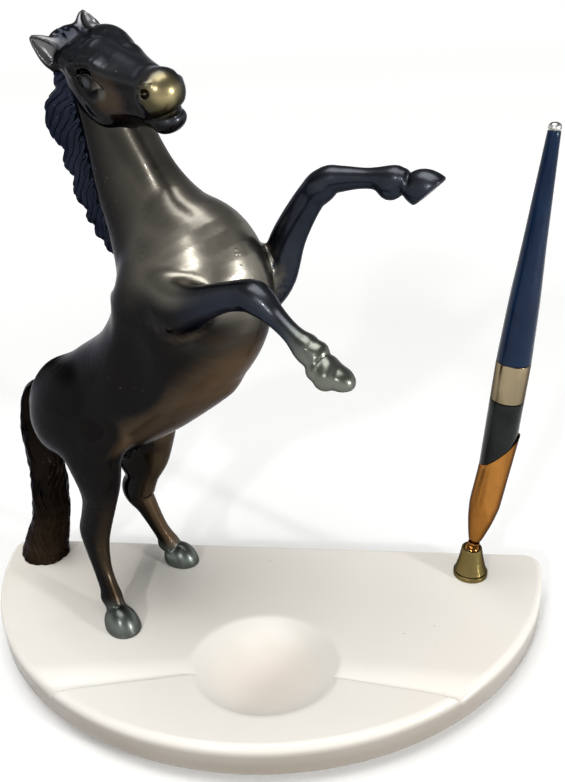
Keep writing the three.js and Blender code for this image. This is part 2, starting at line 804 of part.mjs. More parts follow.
function trimBand() {
  return ring([
    [PEN_RADIUS - BAND_WALL, BAND_BOTTOM],
    [PEN_RADIUS - PEN_EDGE, BAND_BOTTOM],
    [PEN_RADIUS, BAND_BOTTOM + PEN_EDGE],
    [PEN_RADIUS, BAND_TOP - PEN_EDGE],
    [PEN_RADIUS - PEN_EDGE, BAND_TOP],
    [PEN_RADIUS - BAND_WALL, BAND_TOP],
  ]);
}

function gripSection() {
  const shoulder = BAND_BOTTOM + 0.9;
  const shoulderRadius = SPIGOT_RADIUS - HOLE_CLEARANCE;
  const bore = REFILL_RADIUS + SEAT_GAP;
  return ring([
    [bore, GRIP_NOSE],
    [GRIP_NOSE_RADIUS, GRIP_NOSE],
    [GRIP_NOSE_RADIUS + 0.4, -10],
    [GRIP_RADIUS - 0.7, 4],
    [GRIP_RADIUS, 18],
    [GRIP_RADIUS, BAND_BOTTOM - 1],
    [shoulderRadius, BAND_BOTTOM - 0.2],
    [shoulderRadius, shoulder],
    [BARREL_BORE - SEAT_GAP, shoulder],
    [BARREL_BORE - SEAT_GAP, shoulder + GRIP_OVERLAP],
    [bore, shoulder + GRIP_OVERLAP],
  ], 24);
}

function refillTube() {
  return rod(REFILL_RADIUS, GRIP_NOSE + 1, REFILL_TOP, 16);
}

function refillPoint() {
  const top = GRIP_NOSE + 1 - SEAT_GAP;
  const end = GRIP_NOSE - POINT_LENGTH;
  return turned([
    [0, end],
    [BALL_POINT_RADIUS, end],
    [BALL_POINT_RADIUS + 0.15, end + 1],
    [POINT_RADIUS, GRIP_NOSE - 0.8],
    [POINT_RADIUS, top],
    [0, top],
  ], 16);
}

// Assembly
function piece(name, geometry, material) {
  const mesh = new THREE.Mesh(geometry, material);
  mesh.name = name;
  return mesh;
}

function addFixing(part, name, place, radius, reach) {
  const headRadius = HEAD_RADIUS;
  const bolt = piece(name, screw(radius, headRadius, reach), steel());
  const disc = piece(`${name}_washer`, washer(radius), steel());
  for (const item of [bolt, disc]) {
    item.position.set(place[0], place[1], 0);
    part.add(item);
  }
}

function horse() {
  const group = new THREE.Group();
  group.add(piece('horse_body', geometryOf(trunk), bronze()));
  group.add(piece('horse_head', horseHead(), bronze()));
  group.add(piece('horse_mane', horseMane(), bronzeDark()));
  group.add(piece('near_foreleg', freeLeg(NEAR_FORELEG), bronze()));
  group.add(piece('far_foreleg', freeLeg(FAR_FORELEG), bronze()));
  group.add(piece('near_hind_leg', standingPiece(NEAR_HIND_LEG, NEAR_HOOF), bronze()));
  group.add(piece('far_hind_leg', standingPiece(FAR_HIND_LEG, FAR_HOOF), bronze()));
  group.add(piece('horse_tail', standingPiece(TAIL, TAIL_FOOT, { sides: 16 }), bronzeDark()));
  return group;
}

function pen() {
  const group = new THREE.Group();
  group.add(piece('pen_barrel', penBarrel(), navyPlastic()));
  group.add(piece('pen_finial', penFinial(), gold()));
  group.add(piece('pen_trim_band', trimBand(), gold()));
  group.add(piece('pen_grip_section', gripSection(), blackPlastic()));
  group.add(piece('refill_tube', refillTube(), steel()));
  group.add(piece('refill_point', refillPoint(), steel()));
  group.position.set(0, 0, PEN_CROSSING);
  group.rotation.y = PEN_LEAN - TRUMPET_LEAN;
  return group;
}

function trumpet() {
  const group = new THREE.Group();
  group.add(piece('swivel_ball', swivelBall(), gold()));
  group.add(piece('trumpet_shell', trumpetShell(), gold()));
  group.add(piece('trumpet_liner', trumpetLiner(), blackPlastic()));
  group.add(pen());
  group.position.set(BALL_X, BALL_Y, BALL_Z);
  group.rotation.y = TRUMPET_LEAN;
  return group;
}

function socket() {
  const group = new THREE.Group();
  group.add(piece('socket_bell', socketBell(), brass()));
  group.add(piece('seat_spring', seatSpring(), steel()));
  group.add(piece('ball_seat', ballSeat(), steel()));
  group.position.set(BALL_X, BALL_Y, 0);
  return group;
}

// The back edge stands at Y = 0 in the assembly, which is then centred on the origin
const assembly = new THREE.Group();
assembly.add(piece('onyx_base', onyxBase(), onyx()));
assembly.add(piece('felt_pad', feltPad(), felt()));
assembly.add(horse());
addFixing(assembly, 'near_hoof_screw', NEAR_HOOF, SCREW_RADIUS, SLAB_TOP + SCREW_REACH);
addFixing(assembly, 'far_hoof_screw', FAR_HOOF, SCREW_RADIUS, SLAB_TOP + SCREW_REACH);
addFixing(assembly, 'tail_screw', TAIL_FOOT, SCREW_RADIUS, SLAB_TOP + SCREW_REACH);
addFixing(assembly, 'socket_bolt', [BALL_X, BALL_Y], BOLT_RADIUS, CHAMBER_FLOOR - 0.2);
assembly.add(socket());
assembly.add(trumpet());
assembly.position.y = BASE_DEPTH / 2;

const part = new THREE.Group();
part.name = 'desk_pen_set';
part.add(assembly);

export default part;
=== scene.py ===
import math

import bpy
import numpy as np
from mathutils import Matrix, Vector
from mathutils.geometry import delaunay_2d_cdt


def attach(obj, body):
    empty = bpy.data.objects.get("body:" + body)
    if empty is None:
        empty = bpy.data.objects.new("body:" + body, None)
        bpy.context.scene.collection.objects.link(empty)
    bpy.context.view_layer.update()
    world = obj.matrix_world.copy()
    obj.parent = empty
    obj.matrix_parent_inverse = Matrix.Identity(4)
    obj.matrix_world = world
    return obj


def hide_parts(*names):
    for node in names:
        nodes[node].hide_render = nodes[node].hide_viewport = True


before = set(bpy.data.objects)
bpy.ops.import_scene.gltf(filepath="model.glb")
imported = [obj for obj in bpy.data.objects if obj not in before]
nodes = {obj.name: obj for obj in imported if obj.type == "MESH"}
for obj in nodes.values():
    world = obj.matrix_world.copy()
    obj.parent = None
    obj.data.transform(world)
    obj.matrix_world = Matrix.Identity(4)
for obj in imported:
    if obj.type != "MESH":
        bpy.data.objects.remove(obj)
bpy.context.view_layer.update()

MM = 0.001
COARSE = 1.0


# Camera, solved from the outline of the base in the photograph
CAMERA_PLACE = (0.04376, -0.21013, 0.21015)
CAMERA_LOOK = (-0.12147, 0.893207, -0.432928)
CAMERA_UP = (-0.007678, 0.435292, 0.900257)
CAMERA_LENS, CAMERA_SENSOR, CAMERA_NEAR = 36.83, 36.0, 0.01


def add_object(name, data):
    obj = bpy.data.objects.new(name, data)
    bpy.context.scene.collection.objects.link(obj)
    return obj


def make_camera():
    data = bpy.data.cameras.new("camera")
    data.lens = CAMERA_LENS
    data.sensor_width = CAMERA_SENSOR
    data.clip_start = CAMERA_NEAR
    camera = add_object("camera", data)
    back = -Vector(CAMERA_LOOK).normalized()
    right = Vector(CAMERA_UP).cross(back).normalized()
    turn = Matrix((right, back.cross(right), back)).transposed()
    camera.matrix_world = Matrix.Translation(CAMERA_PLACE) @ turn.to_4x4()
    bpy.context.scene.camera = camera


# Horse frame: forward, to its right, up from the top of the base, in millimetres
HORSE_ORIGIN = np.array([-40.0, 20.5, 16.0])
HORSE_HEADING = math.radians(22)
HEADING_COS, HEADING_SIN = math.cos(HORSE_HEADING), math.sin(HORSE_HEADING)
HORSE_AXES = np.array([[HEADING_COS, -HEADING_SIN, 0], [-HEADING_SIN, -HEADING_COS, 0], [0, 0, 1]])

# Stations: forward, right, up, half width, half depth
TRUNK = [
    [-35.8, 0, 67.8, 7, 8], [-31.2, 0, 69, 13.5, 13.6], [-21, 0, 72.2, 17.5, 17.6],
    [-6, 0, 79.3, 18.5, 19.4], [10.4, 0, 90.3, 18.5, 19.6], [24, 0, 104, 19.5, 22.5],
    [30, 0, 117, 19.5, 25.5], [28.5, 0, 128.5, 17.8, 25], [21.4, 0, 140, 12.2, 17.4],
    [15.3, 0.5, 151.5, 9.2, 13.3], [11.9, 1, 164, 7.3, 10.9], [9.2, 1, 176, 6.8, 10.2],
    [7, 1, 183, 6, 8.5],
]
NEAR_HIND_LEG = [
    [-26, 7, 84, 6, 10], [-14.5, 11, 77, 9, 16.5], [-6, 14.5, 68, 8, 12],
    [-3, 16, 57, 6.5, 8.5], [-4.5, 15.5, 47, 5, 6.2], [-8, 15.2, 36.5, 4.6, 5.6],
    [-8.6, 16, 28.5, 4, 4.6], [-6.2, 17.5, 18.7, 2.9, 3.2], [-1.8, 19.6, 9.8, 3.1, 3.3],
    [0.5, 20.8, 5.2, 3.3, 3.5],
]
FAR_HIND_LEG = [
    [-25.5, -7, 80.5, 6, 10], [-16.5, -11, 71.5, 9, 17], [-8, -14, 60.5, 8.5, 14],
    [-6.5, -14.5, 50, 6.5, 9], [-10, -14, 40, 5, 6.5], [-12.5, -13.5, 31.5, 4.7, 6.2],
    [-10, -14, 25.5, 3.7, 4.3], [-6.5, -15.5, 15.5, 3, 3.2], [-4, -17.4, 8, 3.4, 3.6],
    [-2, -18, 4.5, 3.4, 3.6],
]
NEAR_FORELEG = [
    [26.5, 10, 119, 7, 11], [36.5, 16, 122, 7, 9], [47, 20, 125, 4.7, 5.2],
    [57.5, 22.5, 129, 3.7, 3.9], [66, 24.5, 131, 3.8, 4.1], [70, 25.5, 130, 3.6, 3.9],
    [74, 26.5, 127.5, 2.7, 2.8], [79, 28, 124.5, 2.4, 2.5], [83.5, 29, 121.5, 3.3, 3.5],
    [87, 30, 119.5, 3, 3.1],
]
FAR_FORELEG = [
    [31.5, -9, 118, 7, 11], [43, -12, 117.5, 6.5, 9], [52, -12.5, 123.5, 5, 6.5],
    [57.5, -12.5, 136, 4.1, 5.1], [64.5, -12.5, 147, 3.6, 4.2], [69.5, -12.5, 151.5, 3.7, 4.1],
    [74, -12.5, 152.5, 3, 3.4], [81.5, -12.5, 153, 2.5, 2.7], [88.5, -12.5, 153, 3.3, 3.7],
    [91.5, -12.5, 153, 2.8, 3],
]
TAIL = [
    [-32.5, 0, 68, 3.2, 3.4], [-38.5, 0, 75.5, 3.4, 3.6], [-43.6, 0, 71, 4.2, 4.2],
    [-45.2, 0, 59, 5.4, 5.6], [-43.9, 0, 45, 6.2, 6.9], [-44.4, 0.3, 31, 6.6, 7.3],
    [-47.3, 0.5, 16.5, 7, 7.6], [-51.3, 0.8, 6, 8, 8.5], [-53.4, 1, -1, 8.8, 9.6],
]
MANE = [
    [1, 0.5, 184, 2.2, 3], [-3.5, 1, 178, 3.2, 5], [-5.5, 1, 169.5, 3.6, 6],
    [-3.4, 1, 158.5, 3.2, 5.3], [-1.2, 1, 148.5, 3, 4.8], [2, 0.5, 138, 2.5, 4.3],
    [5.3, 0, 130, 1.8, 2.8],
]

# Stations of the head, in a frame of its own: along the nose, to its right, up
SKULL = [
    [-3, 0, 0.5, 5.5, 6.2], [3, 0, -0.8, 7.4, 8.2], [9, 0, -2.2, 8.2, 9.8],
    [14, 0, -2.8, 7.9, 9.8], [19.5, 0, -2.2, 6.8, 8.2], [25, 0, -1.6, 5.8, 6.4],
    [30, 0, -1.6, 5.1, 5.4], [34.5, 0, -1.8, 4.9, 5.2], [38, 0, -1.8, 4.4, 4.4],
]
JAW = [
    [4, 0, -6, 6.2, 6.6], [9, 0, -8.4, 6.6, 7.4], [14, 0, -9, 6.4, 6.8],
    [20, 0, -8.8, 5.4, 5.4], [26, 0, -8.4, 4.5, 4.2], [32, 0, -8.4, 4.1, 3.6],
    [36.5, 0, -8.6, 3.8, 3.1],
]
NEAR_EAR = [
    [0.9, 6.2, 2.6, 3.2, 2.2], [-0.4, 6.6, 4.6, 3.6, 2.1], [-1.6, 7.1, 6.2, 3.4, 1.9],
    [-2.8, 7.7, 7.7, 2.7, 1.5], [-3.8, 8.4, 9.1, 1.7, 1.1], [-4.4, 8.8, 10, 0.8, 0.7],
]
FAR_EAR = [
    [0.8, -5.3, 4.2, 3.5, 2.2], [-0.3, -5.6, 5.7, 3.6, 2], [-1.3, -6, 7, 3.4, 1.8],
    [-2.3, -6.4, 8.2, 2.7, 1.5], [-3.4, -7, 9.3, 1.6, 1], [-4, -7.4, 9.9, 0.6, 0.5],
]
NEAR_EAR_ACROSS, FAR_EAR_ACROSS = (0.3, -0.76, 0.57), (0.05, -0.91, -0.4)
HEAD_POLL = np.array([3, 1.2, 183])
HEAD_YAW, HEAD_PITCH, HEAD_ROLL = math.radians(22), math.radians(-7), math.radians(21)
HEAD_SIZE = 1.02


# Fields of distance
RUN_STEPS = 6
DOME = 0.5
FAR = 9.0
REACH = 6.0


def unit(v):
    v = np.asarray(v, float)
    return v / np.maximum(np.linalg.norm(v, axis=-1, keepdims=True), 1e-9)


def smooth_run(stations, steps):
    st = np.array(stations, float)
    ext = np.vstack([2 * st[0] - st[1], st, 2 * st[-1] - st[-2]])
    run = []
    for i in range(1, len(st)):
        a, b, c, d = ext[i - 1 : i + 3]
        for j in range(steps):
            t = j / steps
            bend = (2 * a - 5 * b + 4 * c - d) * t * t + (3 * b - a - 3 * c + d) * t**3
            run.append(0.5 * (2 * b + (c - a) * t + bend))
    run.append(st[-1])
    return np.array(run)


def smooth_min(a, b, k):
    if k <= 0:
        return np.minimum(a, b)
    h = np.maximum(k - np.abs(a - b), 0) / k
    return np.minimum(a, b) - h * h * k / 4


def squashed(q, radii):
    """Distance to an ellipsoid from offsets along its own axes, near enough close to it."""
    k0 = np.linalg.norm(q / radii, axis=-1)
    k1 = np.linalg.norm(q / radii**2, axis=-1)
    return k0 * (k0 - 1) / np.maximum(k1, 1e-6)


def box(points, reach):
    """Low and high corner of the box around points, widened by their reach."""
    return (points - reach).min(axis=0), (points + reach).max(axis=0)


class Tube:
    """Elliptic rings on a smooth run of stations, with domed ends and maybe a relief."""

    def __init__(self, stations, side=(0, 1, 0), relief=None):
        run = smooth_run(stations, RUN_STEPS)
        self.centre, radii = run[:, :3], run[:, 3:5]
        self.along = unit(np.gradient(self.centre, axis=0))
        side = unit(side)
        self.across = unit(side - self.along * (self.along @ side)[:, None])
        self.deep = np.cross(self.along, self.across)
        self.radii = np.column_stack([radii, DOME * radii.min(axis=1)])
        gap = np.linalg.norm(np.diff(self.centre, axis=0), axis=1)
        self.length = np.concatenate([[0], np.cumsum(gap)])
        self.relief = relief
        self.low, self.high = box(self.centre, self.radii.max(axis=1)[:, None])

    def local(self, p):
        """Offsets across, deep and along from the nearest place of the run, radii and place."""
        square = (self.centre**2).sum(axis=1)
        near = np.argmin(square - 2 * p @ self.centre.T, axis=1)
        ahead = ((p - self.centre[near]) * self.along[near]).sum(axis=1)
        other = np.clip(near + np.where(ahead > 0, 1, -1), 0, len(self.centre) - 1)
        apart = ahead - ((p - self.centre[other]) * self.along[other]).sum(axis=1)
        t = np.clip(ahead / np.where(np.abs(apart) < 1e-6, 1, apart), 0, 1)[:, None]
        t = t * (other != near)[:, None]

        def mix(values):
            return values[near] + (values[other] - values[near]) * t

        q = p - mix(self.centre)
        axes = [mix(self.across), mix(self.deep), mix(self.along)]
        q = np.stack([(q * unit(a)).sum(axis=1) for a in axes], axis=1)
        return q, mix(self.radii), mix(self.length[:, None])[:, 0]

    def at(self, p):
        q, radii, place = self.local(p)
        away = squashed(q, radii)
        return away - self.relief(q, radii, place) if self.relief else away


class Blob:
    """An ellipsoid; lean gives the direction of its first radius, and wide of its second."""

    def __init__(self, centre, radii, lean=(1, 0, 0), wide=(0, 1, 0)):
        self.centre, self.radii = np.array(centre, float), np.array(radii, float)
        first = unit(lean)
        second = unit(wide - first * (first @ wide))
        self.axes = np.stack([first, second, np.cross(first, second)])
        self.low, self.high = box(self.centre[None], self.radii.max())

    def at(self, p):
        return squashed((p - self.centre) @ self.axes.T, self.radii)


class Bar:
    """A rounded bar through points, with a radius at each."""

    def __init__(self, points, radii):
        self.points, self.radii = np.array(points, float), np.array(radii, float)
        self.low, self.high = box(self.points, self.radii.max())

    def at(self, p):
        best = np.full(len(p), 1e3)
        for a, b, ra, rb in zip(self.points, self.points[1:], self.radii, self.radii[1:]):
            d = b - a
            t = np.clip((p - a) @ d / max(d @ d, 1e-9), 0, 1)
            away = np.linalg.norm(p - a - t[:, None] * d, axis=1) - (ra + (rb - ra) * t)
            best = np.minimum(best, away)
        return best


class Half:
    """Everything on the side of a plane that its normal points to."""
    low, high = np.full(3, -1e3), np.full(3, 1e3)

    def __init__(self, point, normal):
        self.point, self.normal = np.array(point, float), unit(normal)

    def at(self, p):
        return -((p - self.point) @ self.normal)


class Form:
    """Shapes added and cut in order, each with its own softness of joint."""

    def __init__(self, *shapes):
        self.steps = [(shape, 0, 1) for shape in shapes]

    def add(self, shape, k):
        self.steps.append((shape, k, 1))
        return self

    def cut(self, shape, k=0):
        self.steps.append((shape, k, -1))
        return self

    @property
    def low(self):
        return np.min([s.low for s, _, sign in self.steps if sign > 0], axis=0)

    @property
    def high(self):
        return np.max([s.high for s, _, sign in self.steps if sign > 0], axis=0)

    def at(self, p):
        out = np.full(len(p), FAR)
        for shape, k, sign in self.steps:
            near = np.all((p > shape.low - REACH) & (p < shape.high + REACH), axis=1)
            if near.any():
                out[near] = sign * smooth_min(sign * out[near], shape.at(p[near]), k)
        return out


class Placed:
    """A form in a frame of its own, read from the horse frame."""

    def __init__(self, form, origin, axes, size):
        self.form, self.origin, self.axes, self.size = form, origin, axes, size
        corners = form.low + CORNERS * (form.high - form.low)
        self.low, self.high = box(origin + size * corners @ axes, 0)

    def at(self, p):
        return self.size * self.form.at((p - self.origin) @ self.axes.T / self.size)


# Skin of a field on a grid
BLOCK = 4
BAND = 2.2
CHUNK = 60000
CORNERS = np.array([[x, y, z] for x in (0, 1) for y in (0, 1) for z in (0, 1)])
EDGES = [(i, j) for i in range(8) for j in range(i + 1, 8)
         if np.abs(CORNERS[i] - CORNERS[j]).sum() == 1]


def evaluate(field, points):
    out = np.empty(len(points))
    for i in range(0, len(points), CHUNK):
        out[i : i + CHUNK] = field.at(points[i : i + CHUNK])
    return out


def sample(field, low, counts, pitch):
    """Values on the grid, worked out only near the surface; the rest keeps its sign."""
    coarse = -(-(counts - 1) // BLOCK) + 1
    values = evaluate(field, low + np.indices(coarse).reshape(3, -1).T * pitch * BLOCK)
    values = values.reshape(coarse)
    for axis in range(3):
        values = np.repeat(values, BLOCK, axis)
    values = values[: counts[0], : counts[1], : counts[2]].astype(np.float32)
    band = np.abs(values) < BAND * BLOCK * pitch
    values[band] = evaluate(field, low + np.argwhere(band) * pitch)
    return values


def at_corners(values, cells):
    return np.stack([values[tuple((cells + c).T)] for c in CORNERS], axis=1)


def interpolated(values, low, pitch, points):
    """Value and slope of the grid at points."""
    g = (points - low) / pitch
    base = np.clip(np.floor(g).astype(int), 0, np.array(values.shape) - 2)
    cube = at_corners(values, base).reshape(-1, 2, 2, 2)
    share = np.stack([1 - (g - base), g - base])
    x, y, z = share.transpose(2, 1, 0)
    step = np.tile([-1.0, 1.0], (len(g), 1))

    def blend(*sides):
        return np.einsum("nxyz,nx,ny,nz->n", cube, *sides)

    slope = np.stack([blend(step, y, z), blend(x, step, z), blend(x, y, step)], axis=1)
    return blend(x, y, z), slope / pitch


def skin(field, pitch):
    """Vertices, quads and normals of the field's surface."""
    low = np.floor(field.low) - 2 * pitch
    counts = np.ceil((field.high + 2 * pitch - low) / pitch).astype(int) + 1
    values = sample(field, low, counts, pitch)
    inside = values < 0
    count = np.zeros(counts - 1, np.uint8)
    for corner in CORNERS:
        count += inside[tuple(slice(c, n - 1 + c) for c, n in zip(corner, counts))]
    cells = np.argwhere((count > 0) & (count < 8))
    at_corner = at_corners(values, cells)
    total, hits = np.zeros((len(cells), 3)), np.zeros(len(cells))
    for i, j in EDGES:
        a, b = at_corner[:, i], at_corner[:, j]
        crossing = (a < 0) != (b < 0)
        t = np.where(crossing, a / np.where(crossing, a - b, 1), 0)[:, None]
        total += crossing[:, None] * (CORNERS[i] * (1 - t) + CORNERS[j] * t)
        hits += crossing
    points = low + (cells + total / hits[:, None]) * pitch
    for _ in range(2):
        value, slope = interpolated(values, low, pitch, points)
        move = value / np.maximum((slope**2).sum(axis=1), 0.05)
        points = points - np.clip(move, -0.4 * pitch, 0.4 * pitch)[:, None] * slope
    index = np.full(count.shape, -1, np.int64)
    index[tuple(cells.T)] = np.arange(len(cells))
    quads = []
    for axis in range(3):
        start, after = [slice(1, -1)] * 3, [slice(1, -1)] * 3
        start[axis], after[axis] = slice(0, -1), slice(1, None)
        first = inside[tuple(start)]
        edge = np.argwhere(first != inside[tuple(after)])
        first = first[tuple(edge.T)]
        ways = np.roll(np.eye(3, dtype=int), -axis, axis=0)
        edge, du, dv = edge + 1 - ways[0], ways[1], ways[2]
        ring = [edge - du - dv, edge - dv, edge, edge - du]
        face = np.stack([index[tuple(r.T)] for r in ring], axis=1)
        face[~first] = face[~first][:, ::-1]
        quads.append(face)
    _, slope = interpolated(values, low, pitch, points)
    return points, np.concatenate(quads), unit(slope)


def make_mesh(name, points, faces, attributes, sharp=None):
    """An object from points in millimetres, with values or colours at its points."""
    mesh = bpy.data.meshes.new(name)
    mesh.from_pydata((points * MM).tolist(), [], faces)
    mesh.polygons.foreach_set("use_smooth", np.ones(len(faces), bool))
    if sharp:
        mesh.set_sharp_from_angle(angle=math.radians(sharp))
    for key, value in attributes.items():
        kind, field = ("FLOAT_COLOR", "color") if value.ndim == 2 else ("FLOAT", "value")
        data = mesh.attributes.new(key, kind, "POINT").data
        data.foreach_set(field, value.astype(np.float32).ravel())
    return add_object(name, mesh)


def make_casting(name, points, quads, normals, seam=None):
    """The horse frame is left-handed, so the faces are turned over on their way to the world."""
    tone = np.column_stack([patina(name, points, normals), np.ones(len(points))])
    attributes = {
        "patina": tone,
        "seam": np.full(len(points), SEAM_WIDTH) if seam is None else seam,
        "polish": polish(name, points),
    }
    placed = HORSE_ORIGIN + points @ HORSE_AXES
    obj = make_mesh("fine_" + name, placed, quads[:, ::-1].tolist(), attributes)
    turned = (normals @ HORSE_AXES).astype(np.float32)
    obj.data.normals_split_custom_set_from_vertices(turned)
    return obj


# Details of the forms, as rows: softness, which cuts where it is below zero, then the
# centre, radii and directions of a blob, or the points and radii of a bar
def build(form, rows):
    for k, place, size, *ways in rows:
        shape = Bar(place, size) if np.ndim(place) == 2 else Blob(place, size, *ways)
        (form.add if k >= 0 else form.cut)(shape, abs(k))
    return form


def both_sides(rows):
    """The rows as they are, for the right side, then the same for the left."""
    flip = np.array([1, -1, 1])
    return rows + [(k, flip * place, size, *(flip * way for way in ways))
                   for k, place, size, *ways in rows]


def drawn(k, steps, points, marks, radii):
    """A row for a bar on a smooth run through points, its radii given at marks of the run."""
    run = smooth_run(points, steps)
    return k, run, np.interp(np.arange(len(run)), marks, radii)


TRUNK_ROWS = [
    *both_sides([
        (3, (-17, 9.4, 72.4), (15, 9.8, 12), (1, 0, 0.35)),
        (4, (23, 10.6, 120), (18, 7.8, 9.5), (0.35, 0, 1)),
        (-7, (20, 22.5, 100), (11, 4, 6), (0.2, 0, 1)),
    ]),
    (3, (43.5, 8.2, 121.5), (11, 10, 9), (0.2, 0, 1)),
    (3, (43.9, -9, 122.6), (11.4, 10.6, 10), (0.2, 0, 1)),
    (3, [(36.1, 0, 94.7), (19.1, 0, 81.5), (0.5, 0, 68.9)], [7.8, 7.8, 7.2]),
    drawn(4, 4, [(16.6, 3.2, 169), (19.7, 3.4, 163.2), (25, 3.5, 154.6), (30.6, 4.4, 146.2)],
          [0, 2, 8, 12], [2.4, 3.1, 2.9, 1.4]),
    drawn(3, 4, [(17.5, -0.4, 168.4), (20.6, 0.2, 162.6), (26.4, 0.2, 153.4), (33, 1.6, 144)],
          [0, 2, 10, 12], [2.6, 3.2, 3.4, 2.4]),
    (5, (33.5, 4.6, 139), (8.5, 6.4, 9), (0.3, 0, 1)),
    (1.5, (-3, 0.5, 59.6), (5, 3.8, 3.4), (0.5, 0, 0.4)),
]
NEAR_HIND_ROWS = [
    (3, (1, 14.5, 71), (9, 6.5, 7), (0.3, 0, 1)),
    (2.5, (-11.4, 15.6, 33.5), (5, 2.5, 3), (0.1, 0, 1)),
    (1.6, [(-11.4, 16, 29), (-8, 17.8, 18), (-4.4, 19.2, 11.5)], [1.5, 1.1, 1.3]),
    (1.5, (-3.2, 19.2, 9.6), (3.5, 3.4, 3.2)),
    (0.7, (0.6, 20.8, 6.2), (4.1, 3.9, 1.5), (1, 0.3, -0.5)),
]
FAR_HIND_ROWS = [
    (3, (-0.8, -13, 63), (9, 6.5, 7.8), (0.3, 0, 1)),
    (3, (-12, -12.5, 50), (10, 5.5, 6), (0.2, 0, 1)),
    (2.5, (-16.2, -13.7, 32.6), (5, 2.5, 3.3), (0.1, 0, 1)),
    (1.6, [(-14.4, -14, 28), (-9.6, -15.2, 17), (-6, -17, 9)], [1.5, 1.2, 1.4]),
    (1.5, (-5.2, -17.2, 7.8), (3.6, 3.6, 3.1)),
    (0.7, (-2.2, -17.9, 5.6), (4.1, 4, 1.5), (1, 0, -0.45)),
]
NEAR_FORE_ROWS = [
    (1.5, (67.4, 24.8, 131), (4.4, 3.7, 3.5), (1, 0.3, -0.2)),
    (1, (83.2, 28.8, 122.2), (2.6, 2.9, 3), (1, 0.3, -0.6)),
    (0.8, (86.6, 29.2, 121.3), (2.6, 2.6, 2.7), (1, 0.3, -0.6)),
    (0.5, (87.2, 30.8, 117.6), (3, 3.2, 3), (1, 0, -0.1)),
]
NEAR_TOE_ROWS = [
    (0, (89.4, 31.4, 116.4), (3.3, 3.1, 3.5), (1, 0.3, -0.3)),
    (0.6, (92.2, 30, 116), (4.3, 3.4, 3), (1, 0.1, -0.45)),
    (1.2, (89.6, 29.8, 118.8), (2.8, 2.9, 2.2), (1, 0.1, -0.7)),
]
FAR_FORE_ROWS = [
    (1.5, (67.5, -12.5, 149.6), (4, 3.8, 4), (1, 0, 0.6)),
    (1.2, (87.6, -12.5, 151), (3.6, 3.3, 3.3)),
    (0.6, (92.2, -12.5, 151.8), (1.6, 3.1, 3)),
]
# The bridge, then cheek, temple, the sides of nose and jaw, brow, socket, eye and lids, then
# the far brow, the muzzle with its nostrils, and the lips
HEAD_ROWS = [
    (3, [(13, 0, 3.6), (22, 0, 2.6), (31, 0, 0.8)], [3.6, 3, 2.2]),
    *both_sides([
        (2, (10, 4.9, -6.4), (8.6, 3.6, 8.8)),
        (2, (5.2, 5, 3.4), (6.4, 3.3, 3)),
        (2, [(20, 4.9, 2.2), (26, 3.7, 1.1), (32, 2.6, 0.4)], [2.6, 2.5, 2.3]),
        (3, [(15, 5.4, -5.2), (24, 3.9, -5), (32, 3, -5)], [2.8, 2.4, 2]),
        drawn(2.2, 3, [(9.5, 7.1, 2.9), (12.5, 6.5, 4), (17.2, 5.1, 4.3), (21, 4.4, 2.8)],
              [0, 3, 6, 9], [1.2, 1.7, 1.6, 1]),
        (-2, (15.2, 9.7, 0.4), (5.8, 3.6, 3.4), (1, -0.22, -0.3)),
        (0.3, (15.6, 6.3, 0.5), (2.6, 2.1, 2.2), (1, -0.25, -0.2)),
        drawn(0.9, 4, [(11.4, 8, 1.5), (14.6, 7.9, 2.6), (17.4, 7, 1.9), (19.2, 6.5, -0.5)],
              [0, 5, 12], [0.2, 0.5, 0.2]),
        drawn(0.9, 4, [(11.4, 8, 1.5), (13.4, 8.5, -0.4), (16.2, 8.1, -1.2), (19.2, 6.5, -0.5)],
              [0, 6, 12], [0.2, 0.45, 0.2]),
    ]),
    (2, (6.5, -6.6, 5.2), (7, 3, 2.5), (1, -0.1, 0)),
    (2, (13.2, -6.4, 3.9), (4.2, 2.4, 2.1), (1, 0.06, 0)),
    (2.2, (18, -5.2, 1.9), (6, 2.4, 2.4), (1, 0.24, -0.15)),
    (2.2, (38.4, 0, -1.5), (5.5, 5.8, 5.5)),
    (1.6, (34.6, 0, -4.2), (6, 4.8, 3.6)),
    (0.8, (38.9, 4, 2.2), (1.9, 1.2, 0.9), (1, -0.5, 0.1)),
    *both_sides([
        (0.6, (38.6, 5.2, -0.9), (1.8, 1, 1.2), (1, -0.4, 0.1)),
        (-0.4, (39.9, 5.5, 0.7), (2.2, 1.3, 1), (1, 0.5, 0.3)),
    ]),
    (0.8, (37, 0, -9.2), (4.7, 4.4, 2.9), (1, 0, 0.26)),
    (-0.8, (39.6, 0, -6.3), (6.2, 6.4, 0.4), (1, 0, 0.26)),
    (0.2, (35.4, 0, -6.6), (6.6, 4.1, 3.4), (1, 0, 0.26)),
]
# A smooth tuft between the ears with a small curl, engraved with a few strands
FORELOCK_ROWS = [
    (2.2, (-1.6, 0.5, 5), (5.2, 5.4, 4.3), (1, 0, -0.25), (0, 1, -0.1)),
    drawn(0.9, 4, [(0.6, 4.9, 5.4), (-1.4, 4.7, 6.6), (-2.6, 3.6, 8), (-1.8, 2.2, 9)],
          [0, 6, 12], [0.9, 1.4, 0.7]),
    *[drawn(-0.7, 5, strand, [0, 10], [0.35, 0.1]) for strand in (
        [(0.4, 2.6, 8.6), (2.8, 3, 7.8), (4.8, 2.8, 6.8)],
        [(-0.4, 0.4, 9.4), (2.4, 0.9, 8.6), (5.4, 0.8, 7.4)],
        [(0.2, -2.2, 8.9), (2.8, -2, 8.2), (5.2, -2.4, 7.2)],
    )],
]
GROUND = Half((0, 0, 0), (0, 0, -1))
NEAR_TOE_CUT = Half((91, 31, 112.6), (0.15, 0, -1))
HOOF_LEAN = 0.45
HEEL_SHARES = np.array([0.75, 0.62, 0.92])


